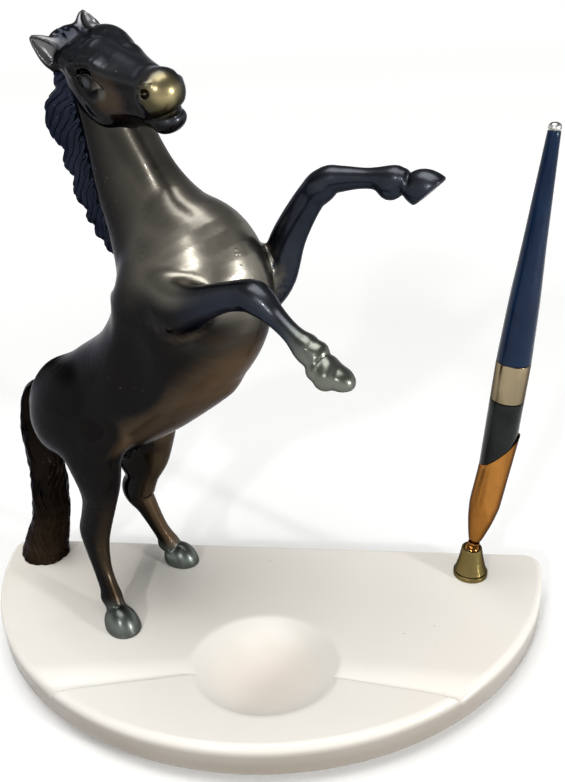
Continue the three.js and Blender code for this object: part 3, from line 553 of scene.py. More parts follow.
def hoof(sole, heading, normal, length, width, height):
    """A hoof from the middle of its sole: a round cup with a heel, cut flat below."""
    sole, up = np.array(sole, float), unit(normal)
    toe = unit(heading - up * (up @ heading))
    lean = unit(up - HOOF_LEAN * toe)
    size = np.array([height, length, width])
    form = Form(Blob(sole + up * 0.5, size, lean, toe))
    form.add(Blob(sole + up * 1.5 - toe * 2.6, size * HEEL_SHARES, lean, toe), 1)
    return form.cut(Half(sole, -up), 0.6)


def make_legs():
    """Each leg's form, and how softly it joins the trunk."""
    def leg(stations, rows, foot, softness):
        return build(Form(Tube(stations)), rows).add(foot, softness)

    toes = build(Form(), NEAR_TOE_ROWS).cut(NEAR_TOE_CUT, 0.8)
    far_fore = hoof((98.4, -12.5, 150.4), (0.75, 0, 0.66), (-0.66, 0, 0.75), 5, 4.1, 6.8)
    near_hind = hoof((3.5, 22, 0), (1, 0.3, 0), (0, 0, 1), 6.4, 5.7, 8.4)
    far_hind = hoof((0.4, -18.2, 0), (1, 0, 0), (0, 0, 1), 6.8, 5.5, 7.8)
    return {
        "near_foreleg": (leg(NEAR_FORELEG, NEAR_FORE_ROWS, toes, 0.35), 3),
        "far_foreleg": (leg(FAR_FORELEG, FAR_FORE_ROWS, far_fore, 0.25), 2),
        "near_hind_leg": (leg(NEAR_HIND_LEG, NEAR_HIND_ROWS, near_hind, 0.3).cut(GROUND), 4.5),
        "far_hind_leg": (leg(FAR_HIND_LEG, FAR_HIND_ROWS, far_hind, 0.3).cut(GROUND), 4.5),
    }


SEAM_WIDTH = 5.0
SOLDER_SHARES = np.array([0.6, 1, 0.35, 0.35])
ALL_ROUND = 1


def body_and_legs(pitch):
    """One field, so that the joints flow, and a label for each casting."""
    body, legs = build(Form(Tube(TRUNK)), TRUNK_ROWS), make_legs()
    fused = Form(body)
    for leg, k in legs.values():
        fused.add(leg, k)
    points, quads, normals = skin(fused, pitch)
    forms = [body, *[leg for leg, _ in legs.values()]]
    away = np.stack([evaluate(form, points) for form in forms])
    ordered = np.sort(away, axis=0)
    apart = np.clip(ordered[1] - ordered[0], 0, SEAM_WIDTH)
    leg = np.argmin(away[1:], axis=0)
    below = np.where(leg == ALL_ROUND, 1, ramp_up(0.05, -0.5, normals[:, 2]))
    seam = SEAM_WIDTH - (SEAM_WIDTH - apart) * SOLDER_SHARES[leg] * below
    label = np.argmin(away, axis=0)[quads[:, 0]]
    made = []
    for i, name in enumerate(["horse_body", *legs]):
        used, corners = np.unique(quads[label == i], return_inverse=True)
        corners = corners.reshape(-1, 4)
        made.append(make_casting(name, points[used], corners, normals[used], seam[used]))
    return made


# Head
def turned_axes(yaw, pitch, roll):
    cy, sy = math.cos(yaw), math.sin(yaw)
    cp, sp = math.cos(pitch), math.sin(pitch)
    nose = np.array([cp * cy, cp * sy, sp])
    level = np.array([-sy, cy, 0])
    crown = np.cross(nose, level)
    c, s = math.cos(roll), math.sin(roll)
    return np.stack([nose, level * c - crown * s, crown * c + level * s])


HEAD_AXES = turned_axes(HEAD_YAW, HEAD_PITCH, HEAD_ROLL)


def in_head(place):
    return HEAD_POLL + HEAD_SIZE * np.array(place) @ HEAD_AXES


def ear(stations, across):
    """A pointed leaf, hollow on the side that listens forward."""
    leaf = np.array(stations, float)
    along = unit(leaf[-1, :3] - leaf[0, :3])
    opening = unit(np.cross(along, across))
    hollow_leaf = leaf[1:].copy()
    hollow_leaf[:, :3] += opening * leaf[1:, 4:5] * 0.95 - along * 0.5
    hollow_leaf[:, 3:] *= [0.68, 0.8]
    return Form(Tube(stations, across)).cut(Tube(hollow_leaf, across), 0.5)


def head_form():
    head = build(Form(Tube(SKULL)).add(Tube(JAW), 4.5), HEAD_ROWS)
    head.add(ear(NEAR_EAR, NEAR_EAR_ACROSS), 1.2)
    head.add(ear(FAR_EAR, FAR_EAR_ACROSS), 1.2)
    return build(head, FORELOCK_ROWS)


# Hair: lobes and strands pressed into the mane and the tail
MANE_LOBES = np.array([0, 10.4, 25.7, 33.5, 43.4, 48, 53, 58])
LOBE_PEAKS = np.array([1.3, 2.8, 2, 2.1, 1.8, 1.6, 1.4])
DEEP_NOTCH = 10.6


def groove(phase):
    """A run of rounded strands with narrow grooves between them."""
    return np.abs(np.sin(np.pi * phase)) - 0.62


def mane_relief(q, radii, place):
    """Strands sweep down as they leave the crest, and lobes scallop the outer edge."""
    out = np.clip(-q[:, 1] / radii[:, 1], -1, 1)
    which = np.clip(np.searchsorted(MANE_LOBES, place, "right") - 1, 0, len(LOBE_PEAKS) - 1)
    start, end = MANE_LOBES[which], MANE_LOBES[which + 1]
    share = np.clip((place - start) / (end - start), 0, 1)
    lobe = LOBE_PEAKS[which] * np.sin(np.pi * share) ** 0.7
    lobe -= 1.2 + 0.9 * np.exp(-(((place - DEEP_NOTCH) / 2.2) ** 2))
    fall = place - 6.5 * out + 0.6 * np.sin(0.8 * place + 0.8 * q[:, 0])
    strands = 0.5 * groove(fall / 3.3) + 0.2 * groove(fall / 1.25 + 0.3 * np.sin(place))
    return np.clip(out + 0.1, 0, 1) ** 1.3 * lobe + strands


def tail_relief(q, radii, place):
    """Locks and strands that wind slowly round the tail."""
    u = np.arctan2(q[:, 0] / radii[:, 0], q[:, 1] / radii[:, 1]) / np.pi
    twist = 0.16 * np.sin(place * 0.075) + 0.05 * np.sin(place * 0.31 + 1)
    locks = 0.5 * groove(3 * (u + twist) + 0.2 * np.sin(place * 0.12))
    strands = 0.26 * groove(9 * (u + 1.3 * twist) + 0.3 * np.sin(place * 0.3))
    lumps = 0.14 * np.sin(place * 0.9 + 4 * u) * np.sin(place * 0.37 - 7 * u)
    return np.clip(place / 18, 0.15, 1) * (locks + strands + lumps)


def horse_pieces():
    pieces = body_and_legs(0.6 * COARSE)
    for name, form, pitch in (
        ("horse_head", Placed(head_form(), HEAD_POLL, HEAD_AXES, HEAD_SIZE), 0.36),
        ("horse_mane", Form(Tube(MANE, relief=mane_relief)), 0.32),
        ("horse_tail", Form(Tube(TAIL, relief=tail_relief)).cut(GROUND), 0.4),
    ):
        pieces.append(make_casting(name, *skin(form, pitch * COARSE)))
    return pieces


# Tones of the castings, in linear light: the bronze's own colours, with painted light and shade
# laid by which way a surface faces and on set spots
BLACK = (0.0024, 0.0018, 0.0016)
OLIVE_PAINTED_LIGHT = (0.080, 0.073, 0.060)
PAINTED_CHEST_SHEEN = (0.25, 0.234, 0.196)
BROWN = (0.105, 0.070, 0.040)
SLATE_PAINTED_LIGHT = (0.036, 0.039, 0.044)
NAVY = (0.013, 0.017, 0.027)
HOOF_PALE_TONE = (0.115, 0.130, 0.118)
BRASS = (0.30, 0.25, 0.125)
HAIR = (0.009, 0.011, 0.018)
EAR_PAINTED_HIGHLIGHT = (0.16, 0.16, 0.165)
TAIL_TONE = (0.0045, 0.0034, 0.0026)
LIT_SIDE = (0.45, 0.25, 0.86)
# Centres of the painted sheen on the chest and of the painted highlight on the cheek
CHEST_PLACE, CHEEK_PLACE = (47, 2, 132), (22, 12, 176)
# Spots on the head: tone, amount, place in the head's frame, radius
HEAD_SPOTS = [(HAIR, 1, (-1.6, 0.5, 8), 7), (BRASS, 0.2, (41, 2, -0.5), 7.5)]
# On each side: painted shade in black over the eye socket, a painted glint in slate on the eye,
# and a painted highlight in olive in front of and below it
for side in (1, -1):
    HEAD_SPOTS += [(BLACK, 1, (15, 8 * side, 0.4), 6), (SLATE_PAINTED_LIGHT, 1, (16.2, 8.4 * side, 0.9), 2),
                   (OLIVE_PAINTED_LIGHT, 1, (19.6, 7 * side, -1.4), 3)]
EAR_HOLLOWS = [((-2, 7.6, 7.2), (0.8, 0.4, 0.45)), ((-2, -6.6, 9), (0.8, 0.1, 0.55))]
WORN_NOSE = (43.3, 1.3, 0.8)


def ramp_up(low, high, value):
    t = np.clip((value - low) / (high - low), 0, 1)
    return t * t * (3 - 2 * t)


def near(points, centre, radius):
    away = np.linalg.norm(points - np.array(centre), axis=1)
    return ramp_up(radius, 0.35 * radius, away)


def patina(name, p, n):
    """Colour of each vertex, the bronze's own tones with painted light and shade: later tones lie
    over earlier ones.
    """
    colour = np.tile(np.array(BLACK), (len(p), 1))
    x, y, z = p.T
    facing = n @ unit(LIT_SIDE)

    def lay(tone, amount):
        colour[:] += np.reshape(amount, (-1, 1)) * (np.array(tone) - colour)

    if name not in ("horse_head", "horse_mane", "horse_tail"):
        # painted sheen: olive on the upper fore part where it faces the lit side
        lay(OLIVE_PAINTED_LIGHT, ramp_up(0, 0.85, facing) * ramp_up(112, 134, z))
        # painted sheen: a pale patch on the chest where it faces the lit side
        lay(PAINTED_CHEST_SHEEN, 0.9 * near(p, CHEST_PLACE, 34) * ramp_up(0.1, 0.8, facing))
        # painted reflection: slate on faces that turn back and up
        back = ramp_up(0.2, 0.8, -n[:, 0]) * ramp_up(0, 0.5, n[:, 2])
        lay(SLATE_PAINTED_LIGHT, 0.8 * back * ramp_up(60, 70, z))
        # painted reflection: brown on the belly and other faces that turn down
        under = ramp_up(0.3, 0.85, -n[:, 2] + 0.35 * n[:, 0])
        lay(BROWN, under * ramp_up(118, 104, z) * ramp_up(66, 70, z))
    if name == "horse_head":
        # painted light: slate on the side of the head that faces the lit side
        lay(SLATE_PAINTED_LIGHT, ramp_up(0, 0.75, facing))
        # painted highlight: brown on the cheek in front of and below the eye
        lay(BROWN, 0.35 * near(p, CHEEK_PLACE, 9))
        for tone, amount, place, radius in HEAD_SPOTS:
            lay(tone, amount * near(p, in_head(place), radius))
        # painted highlight: pale grey in the ear hollows, on faces turned to their opening
        for middle, opening in EAR_HOLLOWS:
            hollow_side = ramp_up(0.45, 0.85, n @ (unit(opening) @ HEAD_AXES))
            lay(EAR_PAINTED_HIGHLIGHT, near(p, in_head(middle), 5.5) * hollow_side)
    elif name in ("near_foreleg", "far_foreleg"):
        out = ramp_up(38, 54, x)
        lay(NAVY, out)
        # painted light: slate on the lower forelegs where they face the lit side
        lay(SLATE_PAINTED_LIGHT, 0.9 * ramp_up(0.1, 0.8, facing) * out)
        # a paler tone towards the near fore hoof
        lay(HOOF_PALE_TONE, 0.8 * ramp_up(76, 86, x) * ramp_up(8, 12, y))
    elif name in ("near_hind_leg", "far_hind_leg"):
        # painted reflection: brown on the inner hind legs where they face forward, and lower down
        # on all their forward faces
        inner = ramp_up(72, 60, z) * ramp_up(4, -4, y)
        lay(BROWN, 0.7 * ramp_up(0.2, 0.8, n[:, 0]) * inner)
        lay(BROWN, 0.35 * ramp_up(0.3, 0.9, n[:, 0]) * ramp_up(56, 36, z))
        # a paler tone on the hooves
        lay(HOOF_PALE_TONE, ramp_up(12, 4, z))
    elif name == "horse_mane":
        lay(HAIR, 1)
    elif name == "horse_tail":
        lay(TAIL_TONE, 1)
        lay(BROWN, 0.12 * ramp_up(40, 5, z))
    return colour


def polish(name, points):
    """How far handling has worn the dark skin of the bronze down to bare metal."""
    if name == "horse_head":
        return near(points, in_head(WORN_NOSE), 5.4) * 0.85
    if name == "near_foreleg":
        return 0.12 * ramp_up(78, 88, points[:, 0])
    return np.zeros(len(points))


# Node trees
EDGE_TINT = (0.45, 0.45, 0.48)


class Tree:
    """The shader nodes of a material or a world."""

    def __init__(self, owner):
        owner.use_nodes = True
        self.owner, self.nodes = owner, owner.node_tree.nodes

    def node(self, kind, inputs=None, **settings):
        made = self.nodes.new("ShaderNode" + kind)
        for key, value in settings.items():
            setattr(made, key, value)
        for key, value in (inputs or {}).items():
            self.set(made.inputs[key], value)
        return made

    def set(self, socket, value):
        if isinstance(value, bpy.types.NodeSocket):
            self.owner.node_tree.links.new(value, socket)
        elif isinstance(value, tuple) and len(value) == 3 and socket.type == "RGBA":
            socket.default_value = (*value, 1)
        else:
            socket.default_value = value

    def axis(self, name, kind="Object"):
        return self.node("SeparateXYZ", {"Vector": self.place(kind)}).outputs[name]

    def place(self, kind="Object"):
        return self.node("TexCoord").outputs[kind]

    def noise(self, scale, detail=4.0, rough=0.55, distortion=0.0, stretch=None):
        vector = self.place()
        if stretch:
            vector = self.node("Mapping", {"Vector": vector, "Scale": stretch}).outputs["Vector"]
        inputs = {"Scale": scale, "Detail": detail, "Roughness": rough, "Distortion": distortion}
        return self.node("TexNoise", {**inputs, "Vector": vector}).outputs["Fac"]

    def dots(self, scale, size):
        """Small round marks, one in each cell."""
        inputs = {"Scale": scale, "Vector": self.place()}
        cells = self.node("TexVoronoi", inputs).outputs["Distance"]
        return self.ramp(cells, (0, 1), (size, 0))

    def flecks(self, scale, size, cloud, low, high):
        """Small round marks where a cloud lets them through."""
        through = self.ramp(self.noise(cloud, 2), (low, 0), (high, 1))
        return self.times(self.dots(scale, size), through)

    def attribute(self, name, output="Fac"):
        return self.node("Attribute", attribute_name=name).outputs[output]

    def ramp(self, factor, *stops):
        made = self.node("ValToRGB", {"Fac": factor})
        elements = made.color_ramp.elements
        while len(elements) < len(stops):
            elements.new(0.5)
        for element, (where, tone) in zip(elements, stops):
            element.position = where
            element.color = (*tone, 1) if isinstance(tone, tuple) else (tone, tone, tone, 1)
        return made.outputs["Color"]

    def mix(self, factor, a, b, blend="MIX"):
        made = self.node("Mix", {"Factor": factor}, data_type="RGBA", blend_type=blend)
        for key, value in (("A", a), ("B", b)):
            self.set([s for s in made.inputs if s.name == key and s.type == "RGBA"][0], value)
        return [s for s in made.outputs if s.type == "RGBA"][0]

    def math(self, operation, a, b):
        return self.node("Math", {0: a, 1: b}, operation=operation).outputs[0]

    def times(self, a, b):
        return self.math("MULTIPLY", a, b)

    def bump(self, height, strength, distance, normal=None):
        inputs = {"Height": height, "Strength": strength, "Distance": distance}
        if normal is not None:
            inputs["Normal"] = normal
        return self.node("Bump", inputs).outputs["Normal"]

    def seen(self):
        """1 for the rays of the camera and those that metal and glass send on."""
        paths = self.node("LightPath").outputs
        seen = self.math("MAXIMUM", paths["Is Camera Ray"], paths["Is Glossy Ray"])
        return self.math("MAXIMUM", seen, paths["Is Transmission Ray"])

    def finish(self, shader="Principled BSDF", **inputs):
        for key, value in inputs.items():
            self.set(self.nodes[shader].inputs[key.replace("_", " ")], value)
        return self.owner


def new_tree(name):
    return Tree(bpy.data.materials.new(name))


def bronze_material():
    """The dark tones of the castings with their painted light and shade, mottled and pitted, worn
    to brass where hands reach, rough at the solder.
    """
    t = new_tree("bronze_fine")
    cloud = t.ramp(t.noise(38, 5, 0.6, 0.4), (0.3, 0.72), (0.7, 1.3))
    colour = t.mix(1.0, t.attribute("patina", "Color"), cloud, "MULTIPLY")
    solder = t.ramp(t.times(t.attribute("seam"), 0.2), (0.1, 1), (0.9, 0))
    solder = t.times(solder, t.ramp(t.noise(190, 5, 0.7, 1), (0.46, 0), (0.66, 1)))
    colour = t.mix(t.times(solder, 0.6), colour, (0.13, 0.11, 0.075))
    specks = t.flecks(330, 0.16, 60, 0.5, 0.62)
    colour = t.mix(t.times(specks, 0.35), colour, (0.16, 0.14, 0.10))
    scuffs = t.ramp(t.noise(150, 4, 0.6), (0.25, 0.75), (0.75, 1))
    colour = t.mix(t.times(t.attribute("polish"), scuffs), colour, BRASS)
    rough = t.ramp(t.noise(110, 4), (0.3, 0.27), (0.75, 0.37))
    rough = t.math("ADD", rough, t.times(solder, 0.15))
    normal = t.bump(t.noise(55, 2), 0.16, 0.0012)
    grit = t.math("ADD", t.times(solder, 0.3), 0.05)
    normal = t.bump(t.noise(420, 4, 0.65), grit, 0.0006, normal)
    normal = t.bump(specks, 0.25, 0.0003, normal)
    return t.finish(Base_Color=colour, Metallic=1.0, Roughness=rough, Normal=normal,
                    Specular_Tint=EDGE_TINT, Coat_Weight=0.15, Coat_Roughness=0.06)


def hair_material():
    """Rougher casting, almost black in the grooves, with bright grains on the crests."""
    t = new_tree("bronze_dark_fine")
    cloud = t.ramp(t.noise(60, 5, 0.6), (0.3, 0.6), (0.7, 2.2))
    colour = t.mix(1.0, t.attribute("patina", "Color"), cloud, "MULTIPLY")
    grains = t.flecks(520, 0.2, 90, 0.5, 0.65)
    colour = t.mix(t.times(grains, 0.5), colour, (0.16, 0.14, 0.11))
    rough = t.ramp(t.noise(240, 4), (0.3, 0.24), (0.75, 0.42))
    normal = t.bump(t.noise(260, 5, 0.7), 0.35, 0.0006)
    normal = t.bump(grains, 0.3, 0.0003, normal)
    return t.finish(Base_Color=colour, Metallic=1.0, Roughness=rough, Normal=normal,
                    Specular_Tint=EDGE_TINT)


MILK = [(0.25, (0.84, 0.79, 0.71)), (0.5, (0.88, 0.86, 0.80)), (0.75, (0.86, 0.83, 0.75))]
PINK, VEIN, PIT = (0.88, 0.77, 0.66), (0.78, 0.70, 0.60), (0.22, 0.18, 0.14)
RIM_PAINTED_SHADE = [(0.35, (0.12, 0.085, 0.06)), (0.65, (0.21, 0.165, 0.12))]
DISH_PAINTED_GLOW = (0.93, 0.83, 0.72)


def onyx_material():
    """Milky stone with soft warm and pink clouds, faint veins, a few pits, painted shade in browns
    on the rim's side, and a painted glow in the dish.
    """
    t = new_tree("onyx_fine")
    colour = t.ramp(t.noise(9, 2.5, 0.5, 0.5), *MILK)
    warm = t.ramp(t.noise(13, 2, 0.5, 0.4), (0.45, 0), (0.85, 1))
    colour = t.mix(t.times(warm, 0.45), colour, PINK)
    veins = t.ramp(t.noise(11, 2, 0.5, 0.5), (0.4, 0), (0.5, 1), (0.6, 0))
    colour = t.mix(t.times(veins, 0.12), colour, VEIN)
    pits = t.flecks(120, 0.055, 30, 0.56, 0.62)
    colour = t.mix(t.times(pits, 0.75), colour, PIT)
    # painted shade on the rim's side: full low down, fading out near the top, stronger towards the
    # left, broken up in bands
    low = t.ramp(t.times(t.axis("Z"), 60), (0.5, 1), (0.74, 0.9), (0.93, 0))
    across = t.math("ADD", t.times(t.axis("X"), 4), 0.5)
    left = t.ramp(across, (0.1, 1), (0.4, 0.88), (1, 0.75))
    low = t.times(t.times(low, left), t.attribute("side"))
    band = t.ramp(t.noise(1, 2, 0.5, 0, (12, 12, 45)), (0.3, 0.82), (0.7, 1))
    colour = t.mix(t.times(low, band), colour, t.ramp(t.noise(5, 2), *RIM_PAINTED_SHADE))
    # painted glow: a paler cream in the depth of the dish, standing in for light through the stone
    colour = t.mix(t.times(t.attribute("deep"), 0.7), colour, DISH_PAINTED_GLOW)
    rough = t.ramp(t.noise(12, 1), (0.3, 0.22), (0.7, 0.27))
    rough = t.math("ADD", rough, t.times(pits, 0.4))
    normal = t.bump(pits, -0.4, 0.0004, t.bump(t.noise(30, 1), 0.06, 0.0008))
    return t.finish(Base_Color=colour, Roughness=rough, Normal=normal, Specular_IOR_Level=0.35)


def turned_metal(name, colour, dark, roughness, rings=2600):
    """Plated or solid metal with tarnish in clouds, painted reflection in dark streaks that run up
    and down, painted shade where it turns away from view, and fine marks from turning.
    """
    t = new_tree(name)
    # painted reflection: dark streaks that run up and down
    painted_reflection_streaks = t.ramp(t.noise(1, 2, 0.5, 0, (150, 150, 10)), (0.40, 0), (0.7, 0.5))
    tarnish = t.ramp(t.noise(120, 5, 0.6), (0.35, 0), (0.75, 0.35))
    # painted shade: darker where the surface turns away from view
    edge = t.node("LayerWeight", {"Blend": 0.5}).outputs["Facing"]
    tarnish_and_painted_shade = t.math("MAXIMUM", painted_reflection_streaks, tarnish)
    tarnish_and_painted_shade = t.math("MAXIMUM", tarnish_and_painted_shade, t.ramp(edge, (0.25, 0), (0.75, 1)))
    shade = t.mix(tarnish_and_painted_shade, colour, dark)
    marks = t.noise(1, 3, 0.6, 0, (60, 60, rings))
    rough = t.ramp(marks, (0.3, roughness - 0.05), (0.75, roughness + 0.08))
    normal = t.bump(t.dots(700, 0.12), -0.08, 0.0002, t.bump(marks, 0.05, 0.0002))
    return t.finish(Base_Color=shade, Metallic=1.0, Roughness=rough, Normal=normal,
                    Specular_Tint=EDGE_TINT)


def glossy_plastic(name, colour, bloom):
    """Moulded and buffed plastic with a faint bloom, dust and hair-fine scratches."""
    t = new_tree(name)
    haze = t.ramp(t.noise(90, 4), (0.35, 0), (0.75, 1))
    shade = t.mix(t.times(haze, 0.6), colour, bloom)
    shade = t.mix(t.times(t.dots(900, 0.07), 0.25), shade, (0.15, 0.15, 0.16))
    scratch = t.noise(1, 3, 0.6, 0.3, (1400, 1400, 90))
    rough = t.ramp(scratch, (0.35, 0.10), (0.7, 0.2))
    normal = t.bump(scratch, 0.03, 0.0001)
    return t.finish(Base_Color=shade, Roughness=rough, Normal=normal, Specular_IOR_Level=0.15)


def felt_material():
    """Green felt with loose fibres."""
    t = new_tree("felt_fine")
    fibre = t.noise(1100, 6, 0.75, 1.5)
    colour = t.ramp(fibre, (0.3, (0.035, 0.075, 0.025)), (0.7, (0.11, 0.17, 0.06)))
    colour = t.mix(t.times(t.noise(90, 3), 0.3), colour, (0.12, 0.13, 0.07))
    normal = t.bump(fibre, 0.8, 0.0005)
    return t.finish(Base_Color=colour, Roughness=0.95, Normal=normal, Sheen_Weight=0.3)


def dress(obj, material):
    obj.data.materials.clear()
    obj.data.materials.append(material)


# Onyx base: the outline of the CAD base, with a finer skin and softened edges
BASE_WIDTH, BASE_DEPTH, CORNER = 210.0, 98.0, 6.0
ARC_STEPS, CORNER_STEPS, BACK_STEPS = 300, 8, 60
SCREW_PLACES = [(-45.0, -1.21), (-32.82, 37.22), (-87.2, 38.49), (77.6, 35.5)]
COUNTERBORE_RADIUS, COUNTERBORE_TOP, COUNTERBORE_LIP, COUNTERBORE_STEPS = 5.0, 6.2, 2, 32
SLAB_TOP, FELT_TOP, FELT_EDGE, RIM_ROUND, ROUND_ROWS = 16.0, 1.2, 6.5, 2.4, 7
BEVEL_INSET, BEVEL_HEIGHT = 3.6, 4.8
# Rows of the sides: inset from the outline, and share of the bevel's height
SIDE_ROWS = [(FELT_EDGE, 0), (BEVEL_INSET, 0), (BEVEL_INSET * 0.7, 0.28),
             (BEVEL_INSET * 0.35, 0.55), (BEVEL_INSET * 0.1, 0.82), (0, 1)]
DISH_X, DISH_Y, DISH_RADIUS, DISH_SQUASH, DISH_DEPTH = 6.8, -63.5, 24.8, 0.9, 8.5
GROOVE_Y, GROOVE_START, GROOVE_LENGTH = -62.0, 22.0, 58.0
GROOVE_WIDTH, GROOVE_WIDENS, GROOVE_DEPTH, GROOVE_DEEPENS = 7.6, 3.9, 1.4, 2.0
GROOVE_ANGLES = {-1: math.radians(11), 1: math.radians(6.5)}
FLAT_SINK = 0.2
TOP_STEP, HOLLOW_STEP, HOLLOW_MARGIN, HOLLOW_LEAST, TOP_LIMIT = 3.0, 0.8, 1.2, 0.002, 0.985
# Rows of points that follow a groove's front edge, and the strip that they have to themselves
EDGE_RUNS, EDGE_SHARES = np.arange(20, 84, 1.0), np.arange(0.64, 1.09, 0.06)
STRIP_RUNS, STRIP_SHARES = (19.5, 84.5), (0.58, 1.12)


def base_outline(inset):
    start = math.asin(CORNER / BASE_DEPTH)
    half = BASE_WIDTH / 2
    corner_x = half * math.cos(start) - CORNER
    angle = np.linspace(start, math.pi - start, ARC_STEPS)
    x, y = half * np.cos(angle), -BASE_DEPTH * np.sin(angle)
    normal = unit(np.stack([x / half**2, y / BASE_DEPTH**2], axis=1))
    turn = np.linspace(0, math.pi / 2, CORNER_STEPS + 1)[1:]

    def corner(side, a):
        centre = np.array([side * corner_x, -CORNER])
        return centre + (CORNER - inset) * np.stack([np.cos(a), np.sin(a)], axis=1)

    back = np.linspace(-corner_x, corner_x, BACK_STEPS)[1:]
    back = np.stack([back, np.full(len(back), -inset)], axis=1)
    front = np.stack([x, y], axis=1) - normal * inset
    rows = [front, corner(-1, math.pi - turn), back, corner(1, math.pi / 2 - turn)]
    return np.concatenate(rows)[:-1]


def groove_size(run):
    """Half the width and the depth of a groove along its run."""
    t = np.clip((run - GROOVE_START) / GROOVE_LENGTH, 0, 1.2)
    return (GROOVE_WIDTH + GROOVE_WIDENS * t) / 2, GROOVE_DEPTH + GROOVE_DEEPENS * t


def in_groove(side, x, y):
    """Run along the groove, share across it towards the front, and depth."""
    c, s = side * math.cos(GROOVE_ANGLES[side]), -math.sin(GROOVE_ANGLES[side])
    dx, dy = x - DISH_X, y - GROOVE_Y
    run = dx * c + dy * s
    half, depth = groove_size(run)
    return run, side * (dx * s - dy * c) / half, depth


def from_groove(side, run, across):
    """The place on the top of a point given by its run and share across."""
    c, s = math.cos(GROOVE_ANGLES[side]), math.sin(GROOVE_ANGLES[side])
    off = across * groove_size(run)[0]
    return np.column_stack([DISH_X + side * (run * c - off * s), GROOVE_Y - run * s - off * c])


def hollow(x, y):
    """How far the top is cut down by the dish and the grooves, with soft edges."""
    sphere = (DISH_RADIUS**2 + DISH_DEPTH**2) / (2 * DISH_DEPTH)
    r2 = (x - DISH_X) ** 2 + ((y - DISH_Y) / DISH_SQUASH) ** 2
    dish = np.sqrt(np.maximum(sphere**2 - r2, 0)) - (sphere - DISH_DEPTH)
    depth = -smooth_min(-dish, np.zeros_like(x), 0.9)
    for side in GROOVE_ANGLES:
        run, across, deep = in_groove(side, x, y)
        rise = np.clip((across + 1.25) / 2.1, 0, 1) ** 1.25
        cut = deep * rise * ramp_up(1.0, 0.7, across)
        cut -= np.maximum(GROOVE_START - run, 0) * 0.8
        depth = -smooth_min(-depth, -np.maximum(cut, 0), 0.5)
    return np.maximum(depth - FLAT_SINK, 0)


def within_top(x, y):
    half, depth = BASE_WIDTH / 2 - RIM_ROUND, BASE_DEPTH - RIM_ROUND
    return (x / half) ** 2 + (y / depth) ** 2 < TOP_LIMIT


def grid_inside(outline):
    """Points of the top: a coarse grid, a finer one in the hollows, and rows on groove edges."""
    low, high = outline.min(axis=0), outline.max(axis=0)
    kept = []
    for step, fine in ((TOP_STEP, False), (HOLLOW_STEP, True)):
        x, y = np.meshgrid(*[np.arange(a + step, b, step) for a, b in zip(low, high)])
        x, y = x.ravel(), y.ravel()
        inside = within_top(x, y) & (np.abs(x) < high[0] - 1) & (y < high[1] - 1)
        around = [hollow(x + dx * HOLLOW_MARGIN, y + dy * HOLLOW_MARGIN)
                  for dx in (-1, 1) for dy in (-1, 1)]
        hollowed = np.max(around, axis=0) > HOLLOW_LEAST
        kept.append(np.column_stack([x, y])[inside & (hollowed == fine)])
    flat = np.concatenate(kept)
    for side in GROOVE_ANGLES:
        row = from_groove(side, *[v.ravel() for v in np.meshgrid(EDGE_RUNS, EDGE_SHARES)])
        clear = np.zeros(len(flat), bool)
        for value, (first, last) in zip(in_groove(side, *flat.T), (STRIP_RUNS, STRIP_SHARES)):
            clear |= (value < first) | (value > last)
        flat = np.concatenate([flat[clear], row[within_top(*row.T)]])
    return flat


def counterbore(place):
    """The blind cup under a fixing, with a lip that lies hidden above the felt."""
    angle = np.arange(COUNTERBORE_STEPS) * 2 * math.pi / COUNTERBORE_STEPS
    circle = np.column_stack([np.cos(angle), np.sin(angle), np.zeros(len(angle))])
    middle = np.array([place[0], place[1] - BASE_DEPTH / 2, 0])
    rows = [(COUNTERBORE_RADIUS + COUNTERBORE_LIP, FELT_TOP), (COUNTERBORE_RADIUS, FELT_TOP),
            (COUNTERBORE_RADIUS, COUNTERBORE_TOP), (0.01, COUNTERBORE_TOP)]
    return [middle + circle * r + np.array([0, 0, h]) for r, h in rows]


def joined(outline):
    """Faces between rings of points, from the first ring to the last."""
    count = len(outline[0])
    turn = np.arange(count)
    after = (turn + 1) % count
    faces = []
    for a in range(0, (len(outline) - 1) * count, count):
        b = a + count
        faces += np.stack([a + turn, a + after, b + after, b + turn], axis=1).tolist()
    return faces


